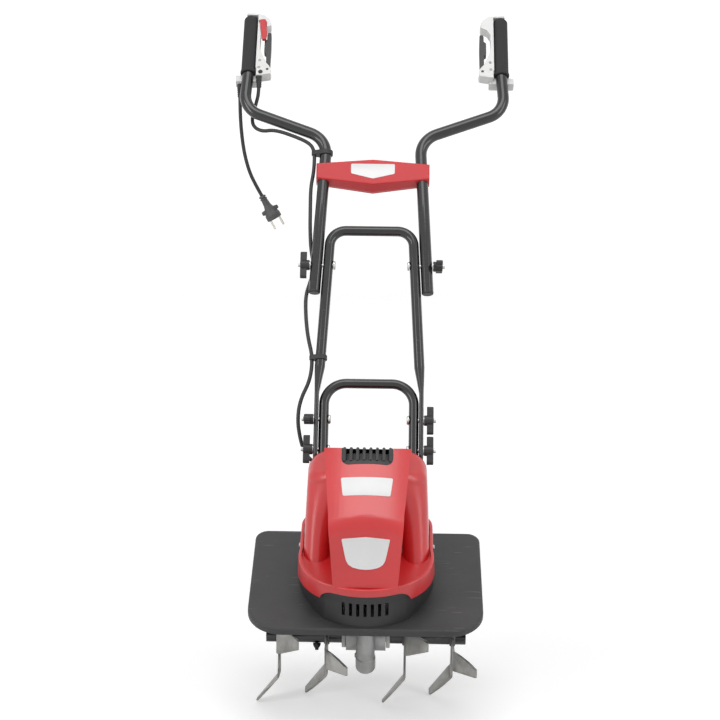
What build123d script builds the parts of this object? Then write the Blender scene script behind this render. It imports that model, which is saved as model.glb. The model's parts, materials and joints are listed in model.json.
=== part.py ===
from build123d import *
import math
import os

# Electric garden tiller, millimetres. Z is up, the front of the machine looks along -Y and the
# operator stands at +Y. "Left" and "right" are as seen from the front: left is -X.
# The head (tine drive, motor and housing) leans forward about the axle, the way the machine
# balances on its tines, and the handle leans back over it.

# Tines and axle
TINE_RADIUS = 118.0          # axle to blade tip
TINE_THICK = 4.0
TINE_BEND_RADIUS = 72.0      # where a blade turns sideways
TINE_SIDE = 40.0             # how far a tip reaches sideways
TINE_BEND_INNER = 8.0        # inner radius of the cold bend
BLADE_HUB_WIDTH = 27.0
BLADE_BEND_WIDTH = 41.0
BLADE_TIP_WIDTH = 15.0
STAR_HUB_RADIUS = 24.0
STAR_INNER_X = 71.0
STAR_OUTER_X = 157.0
STAR_PHASE_A = 10.0          # degrees forward of straight down
STAR_PHASE_B = -14.0
AXLE_D = 18.0
AXLE_HALF = 112.0
SLEEVE_OD = 24.0
SLEEVE_CLEAR = 0.2           # radial
SLEEVE_END_X = 181.0
SOCKET_D = 20.0              # open sleeve end, takes an extra tine pair
SOCKET_STOP = 0.5            # axle end to socket
PIN_X = 89.0                 # locking pin
PIN_HOLE_X = 135.0           # spare hole
PIN_D = 6.0
PIN_HEAD_D = 14.0
PIN_ANGLE = 24.0             # degrees forward of straight down
WASHER_D = 40.0
WASHER_T = 7.0

# Worm drive
GEAR_MODULE = 1.5
WHEEL_TEETH = 40
WHEEL_FACE = 10.0
WORM_PITCH_D = 16.0
TOOTH_SHARE = 0.36           # tooth and thread width at the pitch line, as a share of the pitch
WORM_HALF = 17.0             # half length of the threaded part
CASE_WALL = 4.0
CASE_CLEAR = 2.0             # wheel tip to case
COLUMN_D = 33.0
COLUMN_BORE = 22.0
CAP_D = 36.0
CAP_TOP = -13.0              # height of the cap joint above the axle
CAP_LENGTH = 33.0
BOSS_D = 50.0
BOSS_END_X = 36.0
FLANGE_T = 6.0
FLANGE_R = 30.0
SIDE_COVER_R = 40.5
SIDE_COVER_T = 4.5
BEARING_OD = 22.0
BEARING_ID = 8.0
BEARING_W = 7.0
RUN_CLEAR = 0.15            # radial, shafts in bearings
BUSH_OD = 26.0
BUSH_W = 12.0

# Head and housing
HEAD_TILT = 19.2             # degrees, top forward
PLATE_TOP = 130.0            # fender top above the axle
PLATE_T = 3.0
LIP_DROP = 13.0
FENDER_HALF = 206.0
FENDER_FRONT = -140.0
FENDER_REAR = 145.0
FENDER_FRONT_R = 62.0
FENDER_REAR_R = 24.0
WALL = 3.0
BASE_HALF = 119.5            # lower housing at the fender
BASE_FRONT = -133.0
BASE_REAR = 106.0
BASE_TOP = 195.0             # seat of the red cover
RIM_HALF = 117.0             # red rim
RIM_FRONT = -127.0
RIM_REAR = 107.0
RIM_TOP = 205.5
SKIRT_BOTTOM = 173.0
SKIRT_FLARE = 2.0
ARCH_TOP = 191.5             # raised front edge of the skirt
ARCH_HALF = 56.0
ARCH_FOOT_HALF = 79.0
RIM_WALL = 5.0
LEDGE = 198.0                # sunken shelf behind the rim
SHOULDER_HALF = 111.0        # shoulders at the ledge
SHOULDER_LID_HALF = 109.0
SHOULDER_LID = 346.0         # their tops beside the spine
SHOULDER_FALL = 26.0         # degrees that the tops slope outward
SHOULDER_LEAN = 8.0          # and forward
SHOULDER_ROUND = 14.0
SPINE_FOOT_Y = -121.0
SPINE_KNEE = (-82.0, 317.0)
SPINE_CREST = (60.0, 374.0)
SPINE_BACK = (101.0, 338.0)
SPINE_FOOT_HALF = 55.0
SPINE_KNEE_HALF = 65.0
SPINE_TOP_HALF = 78.0
SPINE_CROWN = 275.0          # radius across the upper slope
SEAM = 0.3                   # gap between mouldings
SLOT_COUNT = 7
SLOT_PITCH = 12.5
SLOT_W = 5.5
SLOT_LOW = 150.0
SLOT_HIGH = 174.0
VENT_HALF = 45.0
VENT_FRONT = 28.0
VENT_REAR = 88.0
VENT_SLOTS = 7
VENT_SLOT_W = 6.0
VENT_RIB = 1.6               # ribs between the slots stand this high
SCREW_D = 4.2
SCREW_HEAD_D = 9.0
SCREW_HEAD_T = 3.0
SCREW_L = 18.0
SCREW_CLEAR = 0.1

# Motor
STATOR_SIDE = 92.0
STATOR_LOW = 186.0
STATOR_H = 58.0
ARMATURE_D = 50.0
AIR_GAP = 0.8
SHAFT_D = 10.0
COMMUTATOR_D = 32.0
FAN_D = 92.0
FAN_LOW = 154.0
FAN_H = 17.0
FAN_BLADES = 11
MOTOR_BASE_D = 150.0
MOTOR_BASE_T = 6.0
SHAFT_TOP = 312.0

# Handle: lower and middle frames are U tubes, the upper handle folds on them
HANDLE_TILT = 30.0           # degrees, top back
HANDLE_Y = 20.0              # lowest frame bolt, from the axle
HANDLE_Z = 345.5
BOLT_SPACING = 56.0
LOW_TUBE = 18.0
LOW_HALF = 81.0
LOW_BAR = 124.0
LOW_BEND = 40.0
LOW_INSERT = 96.0            # leg length below the lowest bolt
MID_TUBE = 19.0
MID_BAR = 421.0
MID_BEND = 30.0
MID_HALF = 80.0              # leg centre at the fold bolt
LEAF_T = 8.0                 # flattened leg ends
LEAF_W = 25.0
LEAF_GAP = 0.5
LEAF_TOP = 105.0
LEAF_TAPER_TOP = 155.0
LEAF_END = -21.0
FOLD_S = 352.0               # fold bolt above the lowest bolt
UP_TUBE = 22.0
TUBE_WALL = 1.5
FOLD_GAP = 1.0               # between middle leg and upper tube
UP_END = 301.0
UP_KNEE = (88.0, 607.0)
UP_ELBOW = (247.5, 667.0)
UP_KNEE_R = 45.0
UP_ELBOW_R = 42.0
GRIP_FOOT = (242.0, 740.0)
GRIP_TURN = 12.0             # degrees that the grips turn further back
GRIP_L = 136.0
GRIP_D = 27.5
GRIP_FLANGE_D = 30.0
GRIP_FLANGE_T = 7.0
GRIP_END = 3.0
BOLT_D = 8.0
HOLE_CLEAR = 0.3             # radial
BOLT_HEAD_D = 17.0
BOLT_HEAD_T = 4.0
FLAT_WASHER_D = 17.0
FLAT_WASHER_T = 1.0
KNOB_HUB_D = 19.0
KNOB_L = 17.0
KNOB_SPAN = 52.0
KNOB_WING_T = 9.5
KNOB_GAP = 0.3
BOLT_PROUD = 4.0

# Crossbar of the upper handle
BAR_HALF = 106.0
BAR_TOP = 560.5              # along the handle; the next four are depths below it
BAR_END_TOP = 9.0
BAR_END_LOW = 39.0
BAR_APEX = 50.5
BAR_BEVEL_APEX = 58.5
BAR_DEPTH = 14.0             # half thickness
BAR_WALL = 3.0

# Switch handles, in the plane of grip and lever
SWITCH_T = 22.0
SWITCH_GAP = 0.4
LEVER_T = 12.0
LEVER_PIVOT = (36.5, 5.0)
LEVER_PIN_D = 5.0
LEVER_TRAVEL = 6.0           # degrees
ROCKER_PIVOT = (23.0, 113.0)
ROCKER_TRAVEL = 12.0         # degrees
ROCKER_T = 5.5

# Leads
CORD_D = 7.0
CLIP_L = 9.0
CLIP_WALL = 2.6
GLAND_D = 13.0
GLAND_L = 18.0
GLAND_X = -52.0              # where the motor lead leaves the cover
GLAND_H = 250.0
PLUG_NECK_D = 12.0
PLUG_FACE_D = 30.0
PLUG_L = 44.0
PLUG_PIN_D = 4.8
PLUG_ROOT_D = 3.6            # pin inside the plug
PLUG_ROOT_L = 8.0
PLUG_PIN_L = 19.0
PLUG_PIN_PITCH = 19.0

# Derived sizes
WHEEL_PITCH_R = GEAR_MODULE * WHEEL_TEETH / 2
WHEEL_TIP_R = WHEEL_PITCH_R + GEAR_MODULE
WHEEL_ROOT_R = WHEEL_PITCH_R - 1.25 * GEAR_MODULE
WORM_TIP_R = WORM_PITCH_D / 2 + GEAR_MODULE
WORM_ROOT_R = WORM_PITCH_D / 2 - 1.25 * GEAR_MODULE
CENTRE_DISTANCE = WHEEL_PITCH_R + WORM_PITCH_D / 2
THREAD_PITCH = math.pi * GEAR_MODULE
CASE_IN_R = WHEEL_TIP_R + CASE_CLEAR
CASE_OUT_R = CASE_IN_R + CASE_WALL
MOTOR_Y = -CENTRE_DISTANCE
PLATE_UNDER = PLATE_TOP - PLATE_T
LEAF_X = LOW_HALF + LOW_TUBE / 2 + LEAF_GAP + LEAF_T / 2
FOLD_X = MID_HALF + MID_TUBE / 2 + FOLD_GAP + UP_TUBE / 2
SLOPE = (UP_KNEE[0] - FOLD_X) / (UP_KNEE[1] - FOLD_S)
SLEEVE_START = BOSS_END_X + 0.5 + WASHER_T
SLEEVE_ID = AXLE_D + 2 * SLEEVE_CLEAR

HEAD = Location((0, 0, 0), (HEAD_TILT, 0, 0))
HANDLE = Location((0, HANDLE_Y, HANDLE_Z), (-HANDLE_TILT, 0, 0))
parts = {}


def tube_along(path, outer, wall):
    # Hollow tube on a path of lines and arcs
    start = Plane(origin=path @ 0, z_dir=path % 0)
    ring = Circle(outer / 2) - Circle(outer / 2 - wall)
    return sweep(start * ring, path=path)


def x_cylinder(radius, x0, x1, y=0.0, z=0.0):
    return Pos((x0 + x1) / 2, y, z) * Rot(0, 90, 0) * Cylinder(radius, abs(x1 - x0))


def z_cylinder(radius, z0, z1, x=0.0, y=0.0):
    return Pos(x, y, (z0 + z1) / 2) * Cylinder(radius, z1 - z0)


def mirror_x(shape):
    return mirror(shape, about=Plane.YZ)


RIM_BOW = (0.865, 0.64, 0.86)
BASE_BOW = (0.853, 0.47, 0.83)


def oval(half, front, rear, grow=0.0, bow=RIM_BOW):
    # Plan of the housing: bowed front, round front corners, square back with round corners
    a = half + grow
    f = front - grow
    r = rear + grow
    corner = (bow[0] * a, bow[1] * f)
    shoulder = (0.60 * a, bow[2] * f)
    back = 0.62 * a
    with BuildSketch() as sk:
        with BuildLine():
            ThreePointArc((-shoulder[0], shoulder[1]), (0, f), shoulder)
            ThreePointArc(shoulder, corner, (a, 0.08 * f))
            Line((a, 0.08 * f), (a, r - 0.38 * a))
            RadiusArc((a, r - 0.38 * a), (back, r), -0.38 * a)
            Line((back, r), (-back, r))
            RadiusArc((-back, r), (-a, r - 0.38 * a), -0.38 * a)
            Line((-a, r - 0.38 * a), (-a, 0.08 * f))
            ThreePointArc((-a, 0.08 * f), (-corner[0], corner[1]), (-shoulder[0], shoulder[1]))
        make_face()
    return sk.sketch


def prism(sketch, z0, z1):
    return extrude(Pos(0, 0, z0) * sketch, z1 - z0)


def frustum(low, z0, high, z1):
    return loft([Pos(0, 0, z0) * low, Pos(0, 0, z1) * high], ruled=True)


# Tine star: a stamped cross with alternate blades bent to the right and to the left
def blade(side):
    tip = (side * TINE_SIDE, -TINE_RADIUS)
    knee = (0, -TINE_BEND_RADIUS)
    half = TINE_THICK / 2
    inner_r = TINE_BEND_INNER + half
    with BuildSketch(Plane.XZ) as side_view:
        with BuildLine():
            FilletPolyline((0, 0), knee, tip, radius=inner_r)
        trace(line_width=TINE_THICK)
    strip = extrude(side_view.sketch, BLADE_BEND_WIDTH, both=True)
    hub = BLADE_HUB_WIDTH / 2
    bend = BLADE_BEND_WIDTH / 2
    end = BLADE_TIP_WIDTH / 2
    with BuildSketch(Plane.YZ) as plan:
        with BuildLine():
            Polyline((-end - 3, -TINE_RADIUS - 3), (end - 5, -TINE_RADIUS - 3))
            Line((end - 5, -TINE_RADIUS - 3), (bend - 1, -TINE_BEND_RADIUS - 4))
            ThreePointArc((bend - 1, -TINE_BEND_RADIUS - 4), (bend - 2, -TINE_BEND_RADIUS + 6),
                          (hub, -TINE_BEND_RADIUS + 26))
            Polyline((hub, -TINE_BEND_RADIUS + 26), (hub, 0), (-hub, 0),
                     (-hub, -TINE_BEND_RADIUS + 26))
            ThreePointArc((-hub, -TINE_BEND_RADIUS + 26), (-bend, -TINE_BEND_RADIUS - 4),
                          (-end - 3, -TINE_RADIUS - 3))
        make_face()
    outline = extrude(plan.sketch, TINE_SIDE + 20, both=True)
    return strip & outline


def star(x, phase):
    body = x_cylinder(STAR_HUB_RADIUS, -TINE_THICK / 2, TINE_THICK / 2)
    for i in range(4):
        body += Rot(-90 * i, 0, 0) * blade(1 if i % 2 else -1)
    body -= x_cylinder(SLEEVE_OD / 2, -TINE_THICK, TINE_THICK)
    return Pos(x, 0, 0) * Rot(-phase, 0, 0) * body


parts["tine_star_left_outer"] = star(-STAR_OUTER_X, STAR_PHASE_A)
parts["tine_star_left_inner"] = star(-STAR_INNER_X, STAR_PHASE_B)
parts["tine_star_right_inner"] = star(STAR_INNER_X, STAR_PHASE_A)
parts["tine_star_right_outer"] = star(STAR_OUTER_X, STAR_PHASE_B)

# Axle, sleeves and locking pins
pin_turn = Rot(-PIN_ANGLE, 0, 0)
axle = x_cylinder(AXLE_D / 2, -AXLE_HALF, AXLE_HALF)
axle = chamfer(axle.edges().filter_by(GeomType.CIRCLE), 1.5)
for sx in (-1, 1):
    axle -= Pos(sx * PIN_X, 0, 0) * pin_turn * Cylinder(PIN_D / 2 + SLEEVE_CLEAR, 3 * AXLE_D)
parts["tine_axle"] = axle

sleeves = []
pins = []
for sx in (-1, 1):
    tube = x_cylinder(SLEEVE_OD / 2, sx * SLEEVE_START, sx * SLEEVE_END_X)
    tube -= x_cylinder(SLEEVE_ID / 2, sx * SLEEVE_START, sx * SLEEVE_END_X)
    tube -= x_cylinder(SOCKET_D / 2, sx * (AXLE_HALF + SOCKET_STOP), sx * SLEEVE_END_X)
    for hole_x in (PIN_X, PIN_HOLE_X):
        tube -= Pos(sx * hole_x, 0, 0) * pin_turn * Cylinder(PIN_D / 2 + SLEEVE_CLEAR, 2 * SLEEVE_OD)
    sleeves.append(tube)
    with BuildSketch(Plane.XZ) as pin_side:
        with BuildLine():
            reach = SLEEVE_OD / 2 + 3
            head = SLEEVE_OD / 2 + 0.5
            Polyline((0, reach), (PIN_D / 2 - 1, reach), (PIN_D / 2, reach - 1), (PIN_D / 2, -head),
                     (PIN_HEAD_D / 2, -head), (PIN_HEAD_D / 2, -head - 3))
            ThreePointArc((PIN_HEAD_D / 2, -head - 3), (PIN_HEAD_D / 2 - 1.8, -head - 7.5),
                          (3.2, -head - 10))
            Polyline((3.2, -head - 10), (3.2, -head - 13), (0, -head - 13), (0, reach))
        make_face()
    pin = revolve(pin_side.sketch, Axis.Z)
    pins.append(Pos(sx * PIN_X, 0, 0) * pin_turn * pin)
parts["tine_sleeves"] = Compound(children=sleeves)
parts["tine_pins"] = Compound(children=pins)

washers = []
for sx in (-1, 1):
    ring = x_cylinder(WASHER_D / 2, sx * (SLEEVE_START - WASHER_T), sx * SLEEVE_START)
    ring -= x_cylinder(AXLE_D / 2, sx * (SLEEVE_START - WASHER_T), sx * SLEEVE_START)
    ring = chamfer(ring.edges().filter_by(GeomType.CIRCLE).sort_by(SortBy.RADIUS)[-2:], 1.0)
    washers.append(ring)
parts["axle_washers"] = Compound(children=washers)

# Worm wheel: straight teeth on the axle
pitch_angle = 360 / WHEEL_TEETH
half_tooth = TOOTH_SHARE * THREAD_PITCH / 2
flank = math.tan(math.radians(20))
tip_half = half_tooth - GEAR_MODULE * flank
root_half = half_tooth + (WHEEL_PITCH_R - WHEEL_ROOT_R) * flank
with BuildSketch(Plane.YZ) as wheel_face:
    Circle(WHEEL_ROOT_R)
    with PolarLocations(0, WHEEL_TEETH, start_angle=180 + pitch_angle / 2):
        Polygon((WHEEL_ROOT_R - 1.0, -root_half), (WHEEL_ROOT_R, -root_half), (WHEEL_TIP_R, -tip_half),
                (WHEEL_TIP_R, tip_half), (WHEEL_ROOT_R, root_half), (WHEEL_ROOT_R - 1.0, root_half),
                align=None)
    Circle(AXLE_D / 2, mode=Mode.SUBTRACT)
    with PolarLocations(0.62 * WHEEL_ROOT_R, 6):
        Circle(4.2, mode=Mode.SUBTRACT)
wheel = extrude(wheel_face.sketch, WHEEL_FACE / 2, both=True)
wheel += x_cylinder(AXLE_D / 2 + 5, -CASE_CLEAR - WHEEL_FACE / 2 + 0.5, CASE_CLEAR + WHEEL_FACE / 2 - 0.5) \
    - x_cylinder(AXLE_D / 2, -WHEEL_FACE, WHEEL_FACE)
parts["worm_wheel"] = HEAD * wheel

# Worm shaft: one start, thread swept on a helix, with the coupling that meets the motor shaft
worm_half = TOOTH_SHARE * THREAD_PITCH / 2
worm_tip = worm_half - GEAR_MODULE * flank
worm_foot = worm_half + (WORM_PITCH_D / 2 - WORM_ROOT_R) * flank
helix = Pos(0, 0, -WORM_HALF) * Helix(pitch=THREAD_PITCH, height=2 * WORM_HALF, radius=WORM_PITCH_D / 2)
with BuildSketch(Plane.XZ) as thread_face:
    with Locations((0, -WORM_HALF)):
        Polygon((WORM_ROOT_R - 0.6, -worm_foot), (WORM_TIP_R, -worm_tip), (WORM_TIP_R, worm_tip),
                (WORM_ROOT_R - 0.6, worm_foot), align=None)
thread = sweep(thread_face.sketch, path=helix, is_frenet=True)
core = z_cylinder(WORM_ROOT_R, -WORM_HALF - 4, WORM_HALF + 4)
JOURNAL_LOW = CAP_TOP - CAP_LENGTH + 6
COUPLING_TOP = PLATE_TOP - 4
COUPLING_DEPTH = 14.0
core += z_cylinder(BEARING_ID / 2, JOURNAL_LOW, -WORM_HALF)
core += z_cylinder(BEARING_ID / 2, WORM_HALF, COUPLING_TOP - 22)
core += z_cylinder(COLUMN_BORE / 2 - 3, COUPLING_TOP - 24, COUPLING_TOP)
core -= z_cylinder(BEARING_ID / 2, COUPLING_TOP - COUPLING_DEPTH, COUPLING_TOP)
# The thread crosses the wheel in the middle of a tooth gap
mesh_turn = 90 - 360 * WORM_HALF / THREAD_PITCH
parts["worm_shaft"] = HEAD * Pos(0, MOTOR_Y, 0) * (core + Rot(0, 0, mesh_turn) * thread)

# Gearbox casting: upright column for the worm, round case for the wheel, boss on the right
case_x0 = -WHEEL_FACE / 2 - CASE_CLEAR - 6
case_x1 = WHEEL_FACE / 2 + CASE_CLEAR
housing = z_cylinder(COLUMN_D / 2, CAP_TOP, PLATE_UNDER, 0, MOTOR_Y)
housing += z_cylinder(FLANGE_R, PLATE_UNDER - FLANGE_T, PLATE_UNDER, 0, MOTOR_Y)
housing += x_cylinder(CASE_OUT_R, case_x0, case_x1 + CASE_WALL)
housing += x_cylinder(BOSS_D / 2, case_x1, BOSS_END_X)
rib_l = FLANGE_R - 4 - COLUMN_D / 2
for angle in (0, 90, 180, 270):
    rib = Pos(FLANGE_R - 4 - rib_l / 2 - 1, 0, 0) * Box(rib_l + 2, 5, 16)
    housing += Pos(0, MOTOR_Y, PLATE_UNDER - FLANGE_T - 6) * Rot(0, 0, angle) * rib
SIDE_SCREW_R = CASE_OUT_R + 1.5
SIDE_LUG_D = 11.0
side_angles = (10, 80, 135, 190)
for angle in side_angles:
    a = math.radians(angle)
    housing += x_cylinder(SIDE_LUG_D / 2, case_x0, case_x1 + CASE_WALL, SIDE_SCREW_R * math.sin(a),
                          SIDE_SCREW_R * math.cos(a))
housing -= z_cylinder(COLUMN_BORE / 2, CAP_TOP - CAP_LENGTH, PLATE_UNDER + 1, 0, MOTOR_Y)
housing -= x_cylinder(CASE_IN_R, case_x0 - 1, case_x1)
housing -= x_cylinder(BUSH_OD / 2, BOSS_END_X - BUSH_W, BOSS_END_X + 1)
for angle in side_angles:
    a = math.radians(angle)
    housing -= x_cylinder(SCREW_D / 2, case_x0 - 1, case_x0 + SCREW_L, SIDE_SCREW_R * math.sin(a),
                          SIDE_SCREW_R * math.cos(a))
housing -= x_cylinder(AXLE_D / 2 + 1, case_x1 - 1, BOSS_END_X)
FLANGE_SCREW_R = FLANGE_R - SCREW_HEAD_D / 2 - 1
flange_angles = (45, 135, 225, 315)
for angle in flange_angles:
    a = math.radians(angle)
    housing -= z_cylinder(SCREW_D / 2, PLATE_UNDER - FLANGE_T - 1, PLATE_UNDER + 1,
                          FLANGE_SCREW_R * math.cos(a), MOTOR_Y + FLANGE_SCREW_R * math.sin(a))
parts["gearbox_housing"] = HEAD * housing

side_x = case_x0 - SIDE_COVER_T
cover = x_cylinder(SIDE_COVER_R, side_x, case_x0)
cover += x_cylinder(BOSS_D / 2, -BOSS_END_X, side_x + 0.5)
cover += x_cylinder(CASE_IN_R - SEAM, case_x0 - 0.5, case_x0 + 3)
cover -= x_cylinder(BUSH_OD / 2, -BOSS_END_X - 1, -BOSS_END_X + BUSH_W)
cover -= x_cylinder(AXLE_D / 2 + 1, -BOSS_END_X, case_x0 + 4)
cover -= z_cylinder(COLUMN_D / 2 + SEAM, -60, 60, 0, MOTOR_Y)
for angle in side_angles:
    a = math.radians(angle)
    cover += x_cylinder(SIDE_LUG_D / 2, side_x, case_x0, SIDE_SCREW_R * math.sin(a),
                        SIDE_SCREW_R * math.cos(a))
    cover -= x_cylinder(SCREW_D / 2, side_x - 1, case_x0 + 4, SIDE_SCREW_R * math.sin(a),
                        SIDE_SCREW_R * math.cos(a))
parts["gearbox_side_cover"] = HEAD * cover

with BuildSketch(Plane.XZ) as cap_side:
    with BuildLine():
        low = CAP_TOP - CAP_LENGTH
        Polyline((0, low), (CAP_D / 2 - 10, low))
        RadiusArc((CAP_D / 2 - 10, low), (CAP_D / 2, low + 10), -10)
        Polyline((CAP_D / 2, low + 10), (CAP_D / 2, CAP_TOP - 2), (CAP_D / 2 - 1.5, CAP_TOP),
                 (BEARING_OD / 2, CAP_TOP), (BEARING_OD / 2, low + 6), (BEARING_ID, low + 6),
                 (BEARING_ID, low + 4), (0, low + 4), (0, low))
    make_face()
cap = Pos(0, MOTOR_Y, 0) * revolve(cap_side.sketch, Axis.Z)
cap -= x_cylinder(CASE_OUT_R + SEAM, case_x0, case_x1 + CASE_WALL)
cap -= housing
cap -= cover
parts["gearbox_cap"] = HEAD * cap


def screw():
    # Pan-head screw: head below the origin, shank upward
    body = z_cylinder(SCREW_HEAD_D / 2, -SCREW_HEAD_T, 0)
    body = fillet(body.edges().filter_by(GeomType.CIRCLE).sort_by(Axis.Z)[0:1], 1.4)
    body += z_cylinder(SCREW_D / 2 - SCREW_CLEAR, 0, SCREW_L)
    body -= Pos(0, 0, -SCREW_HEAD_T) * (Box(5.5, 1.2, 2) + Box(1.2, 5.5, 2))
    return body


gear_screws = []
for angle in flange_angles:
    a = math.radians(angle)
    spot = Pos(FLANGE_SCREW_R * math.cos(a), MOTOR_Y + FLANGE_SCREW_R * math.sin(a), PLATE_UNDER - FLANGE_T)
    gear_screws.append(HEAD * spot * screw())
for angle in side_angles:
    a = math.radians(angle)
    spot = Pos(side_x, SIDE_SCREW_R * math.sin(a), SIDE_SCREW_R * math.cos(a)) * Rot(0, 90, 0)
    gear_screws.append(HEAD * spot * screw())
parts["gearbox_screws"] = Compound(children=gear_screws)

# Bearings: two for the worm, two for the motor shaft, and plain bushes for the axle
MOTOR_BEARING_LOW = PLATE_TOP + MOTOR_BASE_T + 2
MOTOR_BEARING_TOP = SHAFT_TOP - 12
WORM_BEARING_TOP = PLATE_UNDER - 45
bearings = []
for h in (CAP_TOP - CAP_LENGTH + 6, WORM_BEARING_TOP, MOTOR_BEARING_LOW, MOTOR_BEARING_TOP):
    ring = z_cylinder(BEARING_OD / 2, h, h + BEARING_W, 0, MOTOR_Y)
    ring -= z_cylinder(BEARING_ID / 2 + RUN_CLEAR, h, h + BEARING_W, 0, MOTOR_Y)
    bearings.append(HEAD * ring)
parts["shaft_bearings"] = Compound(children=bearings)
bushes = []
for sx in (-1, 1):
    bush = x_cylinder(BUSH_OD / 2, sx * (BOSS_END_X - BUSH_W), sx * BOSS_END_X)
    bush -= x_cylinder(AXLE_D / 2 + RUN_CLEAR, sx * (BOSS_END_X - BUSH_W), sx * BOSS_END_X)
    bushes.append(HEAD * bush)
parts["axle_bearings"] = Compound(children=bushes)

# Fender: flat moulded tray with a turned-down lip and ribs underneath
depth = FENDER_REAR - FENDER_FRONT
mid_y = (FENDER_REAR + FENDER_FRONT) / 2
tray = Rectangle(2 * FENDER_HALF, depth)
tray = fillet(tray.vertices().group_by(Axis.Y)[0], FENDER_FRONT_R)
tray = fillet(tray.vertices().group_by(Axis.Y)[-1], FENDER_REAR_R)
tray = Pos(0, mid_y) * tray
fender = prism(tray, PLATE_TOP - LIP_DROP, PLATE_TOP)
fender = fillet(fender.faces().sort_by(Axis.Z)[-1].edges(), 5.0)
fender -= prism(offset(tray, -PLATE_T), PLATE_TOP - LIP_DROP, PLATE_UNDER)
ribs = Pos(-112, mid_y, PLATE_UNDER - 2.5) * Box(2.5, depth, 5)
ribs += Pos(112, mid_y, PLATE_UNDER - 2.5) * Box(2.5, depth, 5)
for rib_y in (FENDER_FRONT + 36, FENDER_REAR - 36):
    ribs += Pos(0, rib_y, PLATE_UNDER - 2.5) * Box(2 * FENDER_HALF, 2.5, 5)
fender += ribs & prism(offset(tray, -PLATE_T / 2), PLATE_TOP - LIP_DROP, PLATE_UNDER)
fender -= z_cylinder(COLUMN_BORE / 2 + 2, PLATE_UNDER - 1, PLATE_TOP + 1, 0, MOTOR_Y)
for angle in flange_angles:
    a = math.radians(angle)
    fender -= z_cylinder(SCREW_D / 2, PLATE_UNDER - 1, PLATE_TOP + 1,
                         FLANGE_SCREW_R * math.cos(a), MOTOR_Y + FLANGE_SCREW_R * math.sin(a))
base_posts = ((-84, -62), (84, -62), (-88, 72), (88, 72))
for px, py in base_posts:
    fender -= z_cylinder(SCREW_D / 2, PLATE_UNDER - 1, PLATE_TOP + 1, px, py)
parts["fender"] = HEAD * fender

# Lower housing: black oval base with cooling slots at the front and sockets for the frame legs
seat = -2.0 - SEAM
top_plan = oval(RIM_HALF, RIM_FRONT, RIM_REAR, seat)
top_inner = oval(RIM_HALF, RIM_FRONT, RIM_REAR, seat - WALL)
low_plan = oval(BASE_HALF, BASE_FRONT, BASE_REAR, 0.0, BASE_BOW)
low_inner = oval(BASE_HALF, BASE_FRONT, BASE_REAR, -WALL, BASE_BOW)
base = frustum(low_plan, PLATE_TOP, top_plan, SKIRT_BOTTOM) + prism(top_plan, SKIRT_BOTTOM, BASE_TOP)
base -= frustum(low_inner, PLATE_TOP + WALL, top_inner, SKIRT_BOTTOM)
base -= prism(top_inner, SKIRT_BOTTOM - 0.01, BASE_TOP + 1)
base -= z_cylinder(MOTOR_BASE_D / 2 + 1.5, PLATE_TOP - 1, PLATE_TOP + WALL + 1, 0, MOTOR_Y)
for i in range(SLOT_COUNT):
    sx = (i - (SLOT_COUNT - 1) / 2) * SLOT_PITCH
    base -= Pos(sx, BASE_FRONT + 10, (SLOT_LOW + SLOT_HIGH) / 2) * Box(SLOT_W, 40, SLOT_HIGH - SLOT_LOW)
for px, py in base_posts:
    base += z_cylinder(6, PLATE_TOP, PLATE_TOP + SCREW_L + 4, px, py)
to_head = HEAD.inverse() * HANDLE
SOCKET_TOP = -62.0
for sx in (-1, 1):
    leg_end = to_head * Pos(sx * LOW_HALF, 0, -LOW_INSERT)
    foot_y = leg_end.position.Y
    foot_z = leg_end.position.Z
    base += Pos(sx * LOW_HALF, foot_y + 8, (PLATE_TOP + foot_z + 8) / 2) * Box(9, 34, foot_z + 8 - PLATE_TOP)
    sleeve = z_cylinder(LOW_TUBE / 2 + 4, -LOW_INSERT - 5, SOCKET_TOP, sx * LOW_HALF, 0)
    sleeve = to_head * sleeve
    base += sleeve
    base -= to_head * z_cylinder(LOW_TUBE / 2, -LOW_INSERT, SOCKET_TOP + 1, sx * LOW_HALF, 0)
COVER_SCREW_H = SKIRT_BOTTOM + 9
cover_spots = (
    Pos(-RIM_HALF - 1, 30, COVER_SCREW_H) * Rot(0, 90, 0),
    Pos(RIM_HALF + 1, 30, COVER_SCREW_H) * Rot(0, -90, 0),
    Pos(-40, RIM_REAR + 1, COVER_SCREW_H) * Rot(90, 0, 0),
    Pos(40, RIM_REAR + 1, COVER_SCREW_H) * Rot(90, 0, 0),
)
for spot in cover_spots:
    base += spot * z_cylinder(5, 4.5, SCREW_L + 3)
for spot in cover_spots:
    base -= spot * z_cylinder(SCREW_D / 2, -5, SCREW_L + 2)
for px, py in base_posts:
    base -= z_cylinder(SCREW_D / 2, PLATE_TOP - 1, PLATE_TOP + SCREW_L, px, py)
parts["lower_housing"] = HEAD * base


# Red cover: rim and sunken ledge, round-fronted shoulders over the frame legs, raised spine with a knee
def crown(inset):
    # Round bar along the upper slope, for its curve from side to side
    slope = math.atan2(SPINE_CREST[1] - SPINE_KNEE[1], SPINE_CREST[0] - SPINE_KNEE[0])
    axis_y = SPINE_CREST[0] + SPINE_CROWN * math.sin(slope)
    axis_z = SPINE_CREST[1] - SPINE_CROWN * math.cos(slope)
    return Pos(0, axis_y, axis_z) * Rot(math.degrees(slope) - 90, 0, 0) * Cylinder(SPINE_CROWN - inset, 900)


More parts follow.
